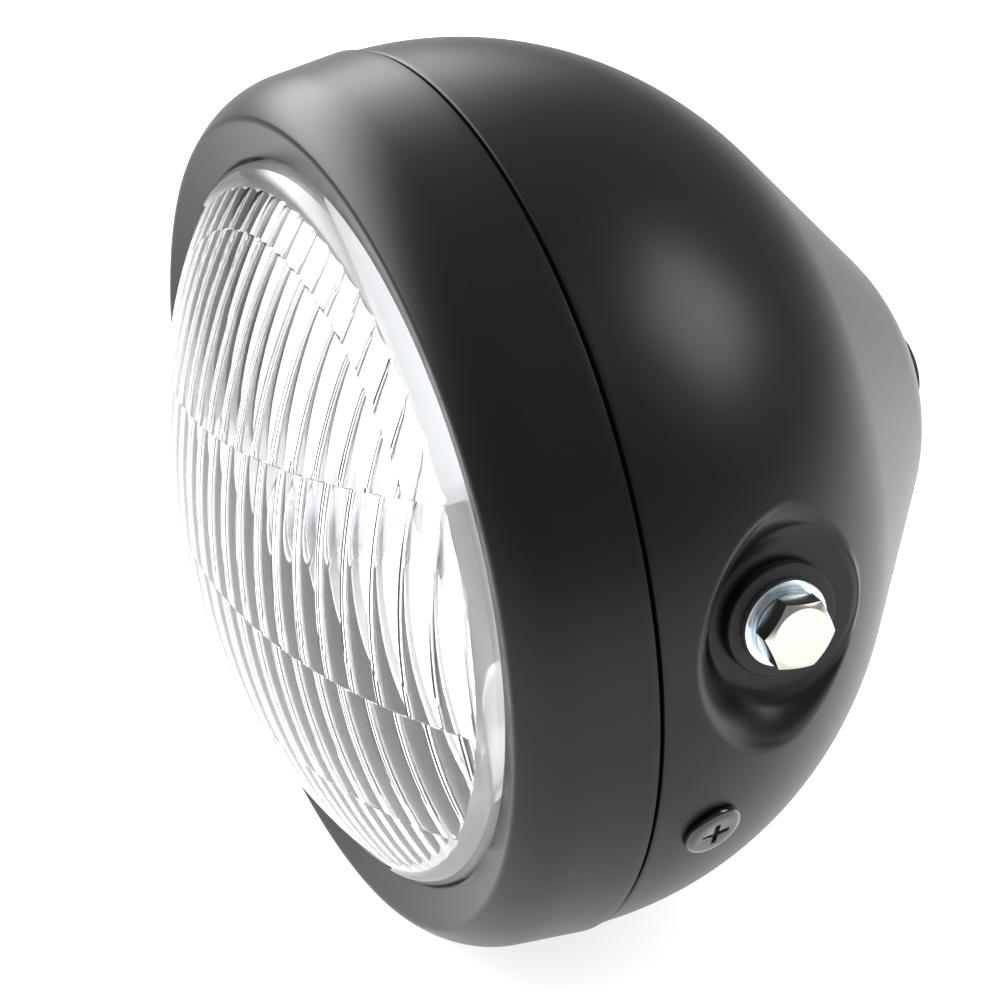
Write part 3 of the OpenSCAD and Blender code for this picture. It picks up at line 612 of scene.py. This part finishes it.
@dataclass
class Bucket:
    """Pressed steel shell with a round pad in a soft dish at each side."""

    outer_r: float = 89.5
    mouth: float = -30.0
    neck_r: float = 87.78
    neck_front: float = -39.0
    sheet: float = 1.2
    shoulder_start: float = -25.0
    shoulder_r: float = 76.0
    cone_slope: float = 50.0
    nose_r: float = 48.0
    flat_r: float = 16.0
    cable_hole_r: float = 10.0
    drain_r: float = 2.5
    drain_station: float = -17.0
    drain_patch: float = 4.0
    pad_x: float = 77.3
    pad_r: float = 18.6
    pad_edge: float = 2.5
    pad_fall: float = 3.0
    foot_r: float = 17.0
    foot_shift: float = 1.8
    foot_round: float = 3.0
    dish_flare: float = 24.0
    bolt_hole_r: float = 4.2
    edge: float = 0.5
    neck_edge: float = 0.4
    steps: int = 384
    patch_r: float = 27.0
    patch_front: float = 28.3
    patch_back: float = 30.0
    patch_arc: float = 21.0
    patch_rings: int = 6
    ring_step: float = 0.42
    flat_step: float = 2.0
    blend_mm: float = 8.0
    blend_share: float = 0.6
    blend_fade: float = 1.5
    blend_least: float = 0.5

    def shoulder_centre(self) -> Vector:
        """Returns the centre of the shoulder's arc."""
        return Vector((self.outer_r - self.shoulder_r, self.shoulder_start))

    def nose_start(self) -> Vector:
        """Returns where the cone meets the nose."""
        a = math.radians(self.cone_slope)
        end = self.shoulder_centre() + self.shoulder_r * Vector((math.cos(a), math.sin(a)))
        run = (end.x - self.nose_r * math.cos(a)) / math.sin(a)
        return end + run * Vector((-math.sin(a), math.cos(a)))

    def nose_station(self) -> float:
        """Returns the station of the nose's centre."""
        return self.nose_start().y - self.nose_r * math.sin(math.radians(self.cone_slope))

    def back(self) -> float:
        """Returns the station of the flat at the back."""
        return self.nose_station() + math.sqrt(self.nose_r ** 2 - self.flat_r ** 2)

    def radius_at(self, station: float) -> float:
        """Returns the skin's radius at a station ahead of the cone's end."""
        shoulder = self.shoulder_centre()
        end = shoulder.y + self.shoulder_r * math.sin(math.radians(self.cone_slope))
        if station <= shoulder.y:
            return self.outer_r
        if station < end:
            return shoulder.x + math.sqrt(self.shoulder_r ** 2 - (station - shoulder.y) ** 2)
        return self.radius_at(end - 1e-6) - (station - end) * math.tan(math.radians(self.cone_slope))

    def boss_height(self, along: float, up: float) -> float:
        """Returns how far out the pressed boss's skin lies at a point seen along the bolt.

        Args:
            along: Station along the lamp's axis from the bolt's line.
            up: Height from the bolt's line.

        Returns:
            Distance from the lamp's axis plane, in millimetres.
        """
        rho, off = math.hypot(along, up), math.hypot(along - self.foot_shift, up)
        skin = math.sqrt(max(self.radius_at(along) ** 2 - up * up, 1.0))
        floor = self.pad_x - self.foot_round
        lean = math.tan(math.radians(self.dish_flare * (1 + (up / max(off, 1.0)) ** 4)))
        wall = floor + max(off - self.foot_r + self.foot_round * lean, 0.0) / lean
        roll = min(max(skin - floor, 1.0) * self.blend_share, self.blend_mm,
                   max(self.patch_r - rho, 0.0) * self.blend_fade + self.blend_least)
        dish = smooth_min(skin, wall, roll)
        lift = max(rho - (self.pad_r - self.pad_edge), 0.0) / self.pad_edge
        pad = self.pad_x if lift == 0 else (
            self.pad_x - self.pad_edge * (1 - math.sqrt(1 - lift * lift)) if lift < 1
            else self.pad_x - self.pad_edge - (rho - self.pad_r) * self.pad_fall)
        return -smooth_min(-dish, -pad, self.foot_round)

    def press_boss(self, mesh: BMesh, side: int) -> None:
        """Cuts a patch out of the skin round one side bolt and fills it with rings that follow the boss."""
        ring = cut_out(mesh, lambda c: -self.patch_front < c.y < self.patch_back
                       and abs(math.atan2(c.z, c.x * side)) < math.radians(self.patch_arc))
        moved, ring = draw_in(mesh, ring, ORIGIN, self.patch_r, self.patch_rings)
        radius = self.patch_r
        while radius > self.bolt_hole_r:
            flat = radius < self.foot_r - self.foot_shift - self.foot_round
            step = max(radius - (self.flat_step if flat else self.ring_step), self.bolt_hole_r)
            verts, ring = draw_in(mesh, ring, ORIGIN, step, 1)
            moved += verts
            radius = step
        for vert in moved:
            vert.co.x = side * self.boss_height(vert.co.y, vert.co.z)

    def pierce_drain(self, mesh: BMesh) -> None:
        """Opens the drain hole in the underside."""
        centre = Vector((0, self.drain_station, 0))
        ring = cut_out(mesh, lambda c: c.z < 0 and abs(c.y - centre.y) < self.drain_patch
                       and abs(c.x) < self.drain_patch)
        for vert in draw_in(mesh, ring, centre, self.drain_r, 2, across=(0, 1))[0]:
            vert.co.z = -math.sqrt(self.radius_at(vert.co.y) ** 2 - vert.co.x ** 2)

    def build(self) -> Object:
        """Builds the shell: turned skin, both bosses and the drain, then the sheet's thickness."""
        shoulder, nose = self.shoulder_centre(), self.nose_start()
        end_a = math.degrees(math.acos(self.flat_r / self.nose_r))
        section = Section(self.neck_r, self.neck_front)
        section.line(self.neck_r, self.mouth)
        section.line(self.outer_r, self.mouth)
        section.line(self.outer_r, self.shoulder_start, parts=4)
        section.arc(*shoulder, turn=self.cone_slope, parts=52)
        section.line(*nose, parts=26)
        section.arc(0.0, self.nose_station(), turn=end_a - self.cone_slope, parts=12)
        section.line(self.cable_hole_r, self.back(), parts=3)
        section.soften(self.outer_r, self.mouth, round_mm=self.edge, parts=3)
        section.soften(self.neck_r, self.mouth, round_mm=self.neck_edge, parts=3)
        mesh = section.turned(self.steps)
        for side in SIDES:
            self.press_boss(mesh, side)
        self.pierce_drain(mesh)
        bmesh.ops.recalc_face_normals(mesh, faces=mesh.faces)
        if sum(f.normal.dot(f.calc_center_median()) for f in mesh.faces) < 0:
            bmesh.ops.reverse_faces(mesh, faces=mesh.faces)
        piece = hand_over(mesh, "bucket_skin", POWDER_COAT, ["bucket_shell"])
        wall = piece.modifiers.new("sheet", "SOLIDIFY")
        wall.thickness = self.sheet * MM
        wall.offset = -1
        return piece


@dataclass(frozen=True)
class Flutes:
    """Vertical flutes of one zone of the lens: pitch, phase and how much deeper they lie."""

    pitch: float
    phase: float
    deeper: float = 0.0


@dataclass
class Lens:
    """Pressed glass: smooth dome outside, zones of vertical flutes inside, a clear shoulder and a flange."""

    dome_r: float = 118.5
    dome_y: float = 36.994
    edge_r: float = 70.002
    edge_y: float = -58.619
    shoulder_w: float = 3.1
    shoulder_round: float = 1.6
    glass_t: float = 4.0
    bore_r: float = 67.102
    flange_r: float = 78.202
    flange_front: float = -49.519
    flange_back: float = -45.519
    face_gap: float = 0.05
    depth: float = 0.6
    column: float = 6.2 / 14
    ring_r: float = 60.0
    lines: tuple[tuple[float, float], ...] = ((-39.0, -3.0), (-7.0, -6.0), (25.0, 6.0))
    rows: int = 12
    merge_mm: float = 2e-3
    zones: tuple[Flutes, ...] = (
        Flutes(6.2 / 1.4, 0.0, 0.9), Flutes(6.2, 0.5), Flutes(6.2, 0.0), Flutes(6.2, 0.5), Flutes(6.2, 0.0))

    def borders(self, x: float) -> list[float]:
        """Returns the heights of the zones' borders at a place across the lens, lowest first."""
        half = math.sqrt(max(self.bore_r ** 2 - x * x, 0.0))
        lines = [max(-half, min(half, z + x * math.tan(math.radians(tilt)))) for z, tilt in self.lines]
        ring = math.sqrt(self.ring_r ** 2 - x * x) if abs(x) < self.ring_r else -half
        return [-half, *lines, max(lines[-1], min(ring, half)), half]

    def inner_y(self, zone: Flutes, x: float, z: float) -> float:
        """Returns the station of the fluted face at a place across and up the lens."""
        core = self.dome_r - self.glass_t - zone.deeper
        phase = x / zone.pitch - zone.phase
        off = phase - round(phase)
        reach = math.sqrt(core * core - x * x) - self.depth * (2 * off) ** 2
        return self.dome_y - math.sqrt(reach * reach - z * z)

    def fluted_face(self, mesh: BMesh) -> None:
        """Adds the inner face, zone by zone, with the small steps between the zones."""
        count = 2 * math.ceil(self.bore_r / self.column)
        last = None
        for k, zone in enumerate(self.zones):
            grid = bmesh.ops.create_grid(mesh, x_segments=count, y_segments=self.rows, size=1.0)["verts"]
            low, high = [], []
            for vert in grid:
                u, t = round((vert.co.x + 1) / 2 * count), (vert.co.y + 1) / 2
                x = max(-self.bore_r, min(self.bore_r, (u - count / 2) * self.column))
                border = self.borders(x)
                z = border[k] + (border[k + 1] - border[k]) * t
                if t < 1e-4:
                    low.append(vert)
                if t > 1 - 1e-4:
                    high.append(vert)
                vert.co = (x, self.inner_y(zone, x, z), z)
            if last:
                top, bottom = set(last), set(low)
                edges = {e for v in last for e in v.link_edges if e.other_vert(v) in top}
                edges |= {e for v in low for e in v.link_edges if e.other_vert(v) in bottom}
                bmesh.ops.bridge_loops(mesh, edges=list(edges))
            last = high

    def build(self) -> Object:
        """Builds the glass as one closed body."""
        inner = bmesh.new()
        self.fluted_face(inner)
        bmesh.ops.remove_doubles(inner, verts=inner.verts, dist=self.merge_mm)
        bmesh.ops.dissolve_degenerate(inner, dist=self.merge_mm, edges=inner.edges)
        rim = [e for e in inner.edges if e.is_boundary]
        LOG.info("lens: %d rim edges", len(rim))
        for vert in grow(inner, rim)[0]:
            vert.co.y = self.flange_back - self.face_gap

        glass_r = self.edge_r + self.shoulder_w
        round_r = self.shoulder_w * self.shoulder_round
        turn = math.degrees(math.acos(1 - self.shoulder_w / round_r))
        dome_turn = math.degrees(math.asin(self.edge_r / self.dome_r))
        section = Section(0.0, self.dome_y - self.dome_r)
        section.arc(0.0, self.dome_y, turn=dome_turn, parts=48)
        centre = (glass_r - round_r, self.edge_y + round_r * math.sin(math.radians(turn)))
        section.arc(*centre, turn=turn, parts=10)
        section.line(glass_r, self.flange_front + self.face_gap)
        section.line(self.flange_r, self.flange_front + self.face_gap)
        section.line(self.flange_r, self.flange_back - self.face_gap)
        absorb(inner, section.turned(256))
        bmesh.ops.bridge_loops(inner, edges=[e for e in inner.edges if e.is_boundary])
        bmesh.ops.recalc_face_normals(inner, faces=inner.faces)
        return hand_over(inner, "fluted_lens", PRESSED_GLASS, ["lens_glass"], sharp=25)


@dataclass
class Reflector:
    """Aluminised bowl of true parabolic section, with its flange and the neck that seats the bulb."""

    focal: float = 26.0
    bowl_r: float = 67.102
    bowl_y: float = -45.519
    sheet: float = 1.0
    hole_r: float = 19.0
    neck_r: float = 25.0
    neck_h: float = 4.0
    curl_r: float = 78.302
    curl_front: float = -49.419
    parts: int = 56

    def depth(self, radius: float) -> float:
        """Returns the bowl's station at a radius."""
        return self.bowl_y + (self.bowl_r ** 2 - radius ** 2) / (4 * self.focal)

    def build(self) -> Object:
        """Builds the bowl as one closed section turned about the axis."""
        seat = self.depth(self.neck_r) + self.neck_h + self.sheet
        section = Section(self.bowl_r, self.bowl_y)
        for i in range(1, self.parts + 1):
            radius = self.bowl_r + (self.hole_r - self.bowl_r) * i / self.parts
            section.line(radius, self.depth(radius))
        section.line(self.hole_r, seat)
        section.line(self.neck_r, seat)
        for i in range(self.parts):
            radius = self.neck_r + (self.bowl_r - self.neck_r) * i / self.parts
            section.line(radius, self.depth(radius) + self.sheet)
        section.line(self.bowl_r, self.bowl_y + self.sheet)
        section.line(self.curl_r + self.sheet, self.bowl_y + self.sheet)
        section.line(self.curl_r + self.sheet, self.curl_front)
        section.line(self.curl_r, self.curl_front)
        section.line(self.curl_r, self.bowl_y)
        section.close()
        return hand_over(section.turned(192), "mirror_bowl", MIRROR_COAT, ["reflector"])


@dataclass
class Bulb:
    """Halogen bulb: quartz tube, wound coils and the plain solids dressed as they are."""

    seat: float = -3.234
    reach: float = 58.0
    radius: float = 8.5
    wall: float = 1.0
    stem: float = 3.0
    seat_gap: float = 0.1
    filament: float = -28.224
    coil_len: float = 5.0
    coil_r: float = 0.75
    wire_r: float = 0.16
    low_coil_back: float = 7.0
    lead_x: tuple[float, float] = (3.2, 5.6)
    lead_r: float = 0.45
    coil_turns: int = 9
    turn_steps: int = 20

    def tube(self) -> Object:
        """Builds the closed quartz tube with its domed tip."""
        tip = self.seat - self.reach + self.radius
        inner = self.radius - self.wall
        section = Section(0.0, tip - self.radius)
        section.arc(0.0, tip, turn=90, parts=16)
        section.line(self.radius, self.seat - self.seat_gap, parts=6)
        section.line(0.0, self.seat - self.seat_gap)
        outer = section.turned(64)
        hollow = Section(0.0, tip - inner)
        hollow.arc(0.0, tip, turn=90, parts=16)
        hollow.line(inner, self.seat - self.stem, parts=6)
        hollow.line(0.0, self.seat - self.stem)
        cave = hollow.turned(64)
        bmesh.ops.reverse_faces(cave, faces=cave.faces)
        absorb(outer, cave)
        return hand_over(outer, "quartz_tube", QUARTZ, ["bulb_envelope"])

    def coils(self) -> Object:
        """Builds both wound coils with their cross wires and leads."""
        mesh = bmesh.new()
        main_lead, low_lead = self.lead_x
        for mid, lead in ((self.filament, main_lead), (self.filament - self.low_coil_back, low_lead)):
            front = mid - self.coil_len / 2
            ring = bmesh.ops.create_circle(mesh, cap_ends=True, radius=self.wire_r, segments=8)["verts"]
            bmesh.ops.translate(mesh, verts=ring, vec=(self.coil_r, front, 0))
            faces = list({f for v in ring for f in v.link_faces})
            edges = list({e for v in ring for e in v.link_edges})
            steps = self.coil_turns * self.turn_steps
            bmesh.ops.spin(mesh, geom=ring + edges + faces, cent=(0, front, 0), axis=AXIS,
                           dvec=(0, self.coil_len / steps, 0), angle=math.tau * self.coil_turns, steps=steps,
                           use_duplicate=False)
            for end in SIDES:
                at = mid + end * self.coil_len / 2
                self.wire(mesh, (0, at, 0), (end * lead, at, 0))
                self.wire(mesh, (end * lead, at, 0), (end * lead, self.seat - self.stem, 0))
        bmesh.ops.recalc_face_normals(mesh, faces=mesh.faces)
        return hand_over(mesh, "wound_coils", TUNGSTEN, ["bulb_filaments"])

    def wire(self, mesh: BMesh, start: tuple[float, float, float],
             end: tuple[float, float, float]) -> None:
        """Adds a straight wire between two points."""
        a, b = Vector(start), Vector(end)
        turn = Vector((0, 0, 1)).rotation_difference(b - a).to_matrix().to_4x4()
        bmesh.ops.create_cone(mesh, cap_ends=True, segments=12, radius1=self.lead_r, radius2=self.lead_r,
                              depth=(b - a).length, matrix=Matrix.Translation((a + b) / 2) @ turn)

    def build(self) -> None:
        """Builds the tube and the coils."""
        self.tube()
        self.coils()


@dataclass
class HexBolt:
    """Cold-headed bolt: a hexagon head whose corners are turned off by a cone, on a plain shank."""

    base: float = 82.8
    top: float = 87.3
    across_flats: float = 13.0
    face_d: float = 11.7
    cone_slope: float = 30.0
    shank_r: float = 4.0
    end: float = 57.8
    edge_mm: float = 0.13
    steps: int = 96

    def flat_r(self, angle: float, corner: float) -> float:
        """Returns the hexagon's radius at an angle, with one corner at the given angle."""
        off = (angle - corner) % math.radians(60) - math.radians(30)
        return self.across_flats / 2 / math.cos(off)

    def cone_height(self, radius: float) -> float:
        """Returns how far out the cone that turns off the corners lies at a radius."""
        return self.top - (radius - self.face_d / 2) * math.tan(math.radians(self.cone_slope))

    def build(self, frame: dict[str, Any], side: int) -> Object:
        """Builds the bolt, ring by ring from the face inwards, turned as the solid is turned.

        Args:
            side: 1 for the right side, -1 for the left.

        Returns:
            The new piece.
        """
        node = "side_bolt_" + SIDE_NAMES[side]
        tip = max((v.co for v in frame["nodes"][node].data.vertices), key=lambda co: co.y)
        corner = math.atan2(tip.z, tip.y)
        mesh = bmesh.new()
        face_r = self.face_d / 2
        bmesh.ops.create_circle(mesh, cap_ends=True, segments=self.steps, radius=face_r)
        for vert in mesh.verts:
            angle = math.atan2(vert.co.y, vert.co.x) + corner
            vert.co = (side * self.top, face_r * math.cos(angle), face_r * math.sin(angle))
        ring = [e for e in mesh.edges if e.is_boundary]
        for hexagonal, level in ((True, None), (True, self.base), (False, self.base), (False, self.end)):
            verts, ring = grow(mesh, ring)
            for vert in verts:
                angle = math.atan2(vert.co.z, vert.co.y)
                radius = self.flat_r(angle, corner) if hexagonal else self.shank_r
                height = self.cone_height(radius) if level is None else level
                vert.co = (side * height, radius * math.cos(angle), radius * math.sin(angle))
        bmesh.ops.contextual_create(mesh, geom=ring)
        bmesh.ops.recalc_face_normals(mesh, faces=mesh.faces)
        break_edges(mesh, 40, self.edge_mm)
        return hand_over(mesh, node + "_dressed", BOLT_ZINC, [node], sharp=20)


@dataclass
class SideHardware:
    """Spacer, washers and bolt of one side, outwards from the pad."""

    pad_x: float = 77.3
    hole_r: float = 4.2
    spacer_r: float = 11.4
    spacer_t: float = 2.5
    washer_r: float = 8.7
    washer_t: float = 1.5
    screw_seat: float = 89.08
    screw_station: float = -17.0
    screw_drop: float = 26.0
    screw_lean: float = 6.04
    screw_squash: float = 0.4
    rubber_round: float = 0.45
    washer_round: float = 0.3
    lock_edge: float = 0.12
    screw_edge: float = 0.15

    def ring(self, inner: float, outer: float, low: float, high: float, round_mm: float,
             side: int) -> BMesh:
        """Returns a ring about the bolt's line with its outer edges rounded."""
        section = Section(inner, low).line(outer, low).line(outer, high).line(inner, high).close()
        for corner in ((outer, high), (outer, low), (inner, high)):
            section.soften(*corner, round_mm=round_mm, parts=4)
        return section.turned(96, axis=Vector((side, 0, 0)))

    def flatten_head(self, point: Vector, side: int) -> Vector:
        """Brings a point of the rim screw's head closer to the seat."""
        drop, lean = math.radians(self.screw_drop), math.radians(self.screw_lean)
        seat = Vector((side * self.screw_seat * math.cos(drop), self.screw_station,
                       -self.screw_seat * math.sin(drop)))
        way = Vector((side * math.cos(lean) * math.cos(drop), math.sin(lean),
                      -math.cos(lean) * math.sin(drop)))
        return point - way * max((point - seat).dot(way), 0.0) * self.screw_squash

    def build(self, frame: dict[str, Any], side: int) -> None:
        """Builds one side's pieces."""
        tag = SIDE_NAMES[side]
        out = self.pad_x + self.spacer_t
        hand_over(self.ring(self.hole_r, self.spacer_r, self.pad_x, out, self.rubber_round, side),
                  "spacer_ring_" + tag, RUBBER, ["rubber_spacer_" + tag])
        hand_over(self.ring(self.hole_r, self.washer_r, out, out + self.washer_t, self.washer_round, side),
                  "stamped_washer_" + tag, WASHER_ZINC, ["flat_washer_" + tag])
        softened(frame, "lock_washer_" + tag, self.lock_edge, WASHER_ZINC)
        HexBolt().build(frame, side)
        softened(frame, "rim_screw_" + tag, self.screw_edge, SCREW_BLACK,
                 lambda co: self.flatten_head(co, side))


# ---- Stage


@dataclass(frozen=True)
class Softbox:
    """One square soft light that faces the object. It shows in the paint only if it is mirrored."""

    name: str
    at: tuple[float, float, float]
    size: float
    watts: float
    mirrored: bool

    def hang(self) -> None:
        """Puts the light in the scene."""
        data = bpy.data.lights.new(self.name, "AREA")
        data.size, data.energy = self.size, self.watts
        light = bpy.data.objects.new(self.name, data)
        light.location = self.at
        light.visible_camera = light.visible_transmission = False
        light.visible_glossy = self.mirrored
        light.rotation_mode = "QUATERNION"
        light.rotation_quaternion = (-Vector(self.at)).to_track_quat("-Z", "Y")
        bpy.context.scene.collection.objects.link(light)


@dataclass
class Studio:
    """Camera, lights, white floor and world. The camera was found from the photograph's own circles.

    The room and the floor are white to the camera. Where they are seen through glass they are brighter
    by the level in tent, as in a light tent, so that the bowl behind the glass reads as bright.
    """

    camera_at: tuple[float, float, float] = (0.60827, -0.29003, 0.33897)
    right: tuple[float, float, float] = (0.43674, 0.89714, -0.06632)
    down: tuple[float, float, float] = (0.38724, -0.25403, -0.88629)
    ahead: tuple[float, float, float] = (-0.81198, 0.36139, -0.45835)
    lens_mm: float = 134.69
    sensor_mm: float = 36.0
    floor_z: float = -0.0903
    floor_half: float = 3.0
    floor_grey: float = 0.6
    floor_glow: float = 0.8
    floor_near: float = 0.3
    floor_far: float = 0.75
    tent: float = 1.3
    room_dim: float = 0.3
    card_bright: float = 9.0
    card_side: tuple[float, float, float] = (-0.9, -0.43, 0.0)
    card_fade: tuple[float, float] = (0.35, 0.95)
    card_foot: tuple[float, float] = (0.06, 0.4)
    lights: tuple[Softbox, ...] = (Softbox("overhead_softbox", (-0.1, -0.1, 1.3), 1.4, 9.0, mirrored=False),
                                   Softbox("rear_softbox", (0.35, 0.75, 0.6), 0.45, 4.0, mirrored=True))

    def camera(self) -> None:
        """Makes the camera at the photograph's place, turn and focal length."""
        data = bpy.data.cameras.new("camera")
        data.sensor_width, data.lens = self.sensor_mm, self.lens_mm
        data.clip_start, data.clip_end = 0.01, 20.0
        camera = bpy.data.objects.new("camera", data)
        axes = Matrix((self.right, [-v for v in self.down], [-v for v in self.ahead])).transposed()
        camera.matrix_world = Matrix.Translation(self.camera_at) @ axes.to_4x4()
        bpy.context.scene.collection.objects.link(camera)
        bpy.context.scene.camera = camera

    def world(self) -> None:
        """Makes a dim room with one tall soft card on the lamp's left, which ends above the horizon."""
        world = bpy.data.worlds.new("studio")
        bpy.context.scene.world = world
        world.use_nodes = True
        tree = world.node_tree
        tree.nodes.clear()
        coords = add_node(tree, "ShaderNodeTexCoord", {})
        toward = add_node(tree, "ShaderNodeVectorMath",
                          {0: coords.outputs["Generated"], 1: self.card_side}, operation="DOT_PRODUCT")
        height = add_node(tree, "ShaderNodeSeparateXYZ", {"Vector": coords.outputs["Generated"]})
        around = ramp(tree, toward.outputs["Value"], *self.card_fade, soft=True)
        above = ramp(tree, height.outputs["Z"], *self.card_foot, soft=True)
        card = reckon(tree, "MULTIPLY", around, above)
        level = reckon(tree, "MULTIPLY_ADD", card, self.card_bright, self.room_dim)
        room = add_node(tree, "ShaderNodeBackground", {"Strength": level})
        path = add_node(tree, "ShaderNodeLightPath", {})
        tent = reckon(tree, "MULTIPLY_ADD", path.outputs["Is Transmission Ray"], self.tent, 1.0)
        white = add_node(tree, "ShaderNodeBackground", {"Strength": tent})
        for back in (room, white):
            back.inputs["Color"].default_value = (1, 1, 1, 1)
        seen = reckon(tree, "MAXIMUM", path.outputs["Is Camera Ray"], path.outputs["Is Transmission Ray"])
        mix = add_node(tree, "ShaderNodeMixShader", {0: seen, 1: room.outputs[0], 2: white.outputs[0]})
        add_node(tree, "ShaderNodeOutputWorld", {"Surface": mix.outputs[0]})

    def floor(self) -> None:
        """Lays a white floor that glows to the camera and still takes the object's shadow."""
        mesh = bmesh.new()
        bmesh.ops.create_grid(mesh, x_segments=2, y_segments=2, size=self.floor_half,
                              matrix=Matrix.Translation((0, 0, self.floor_z)))
        data = bpy.data.meshes.new("floor")
        mesh.to_mesh(data)
        mesh.free()
        floor = bpy.data.objects.new("floor", data)
        bpy.context.scene.collection.objects.link(floor)
        made = bpy.data.materials.new("white_floor")
        made.use_nodes = True
        tree = made.node_tree
        tree.nodes.clear()
        card = add_node(tree, "ShaderNodeBsdfDiffuse", {"Color": (*[self.floor_grey] * 3, 1)})
        path = add_node(tree, "ShaderNodeLightPath", {})
        tent = reckon(tree, "MULTIPLY_ADD", path.outputs["Is Transmission Ray"], self.tent, self.floor_glow)
        glow = add_node(tree, "ShaderNodeEmission", {"Color": (1, 1, 1, 1), "Strength": tent})
        lit = add_node(tree, "ShaderNodeAddShader", {0: card.outputs[0], 1: glow.outputs[0]})
        coords = add_node(tree, "ShaderNodeTexCoord", {})
        away = add_node(tree, "ShaderNodeVectorMath", {0: coords.outputs["Object"]}, operation="LENGTH")
        near = ramp(tree, away.outputs["Value"], self.floor_near, self.floor_far, 1.0, 0.0, soft=True)
        mirrored = reckon(tree, "MULTIPLY", path.outputs["Is Glossy Ray"], near)
        seen = reckon(tree, "MAXIMUM", path.outputs["Is Camera Ray"], mirrored)
        also = reckon(tree, "MAXIMUM", seen, path.outputs["Is Transmission Ray"])
        mix = add_node(tree, "ShaderNodeMixShader", {0: also, 1: card.outputs[0], 2: lit.outputs[0]})
        add_node(tree, "ShaderNodeOutputMaterial", {"Surface": mix.outputs[0]})
        data.materials.append(made)

    def build(self) -> None:
        """Builds the whole stage."""
        self.camera()
        self.world()
        self.floor()
        for light in self.lights:
            light.hang()
        bpy.context.scene.view_settings.view_transform = "Standard"


# ---- Solids that stay as they are, with their finish

PLAIN_NODES: dict[str, Finish] = {
    "lens_seal": RUBBER, "retaining_ring": SHEET_STEEL,
    "ring_brackets": SHEET_STEEL, "ring_screws": SHEET_STEEL,
    "bulb_shield": BULB_STEEL, "bulb_base": BULB_STEEL, "bulb_terminals": BRASS,
    "bulb_spring_clip": SPRING_STEEL, "dust_boot": RUBBER, "cable_grommet": RUBBER,
    **{kind + tag: SHEET_STEEL for kind in ("doubler_plate_", "weld_nut_", "rim_tab_", "rim_nut_")
       for tag in SIDE_NAMES.values()},
}


def dress_plain(frame: dict[str, Any]) -> None:
    """Gives each solid that stays its finish."""
    for node, finish in PLAIN_NODES.items():
        data = frame["nodes"][node].data
        data.materials.clear()
        data.materials.append(finish.material())
        LOG.info("%s: dressed as %s", node, finish.name)


def main(frame: dict[str, Any]) -> None:
    """Builds the lamp and its stage.
    """
    Studio().build()
    Bezel().build()
    Bucket().build()
    Lens().build()
    Reflector().build()
    Bulb().build()
    for side in SIDES:
        SideHardware().build(frame, side)
    dress_plain(frame)


if __name__ == "__main__":
    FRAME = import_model()
    main(FRAME)
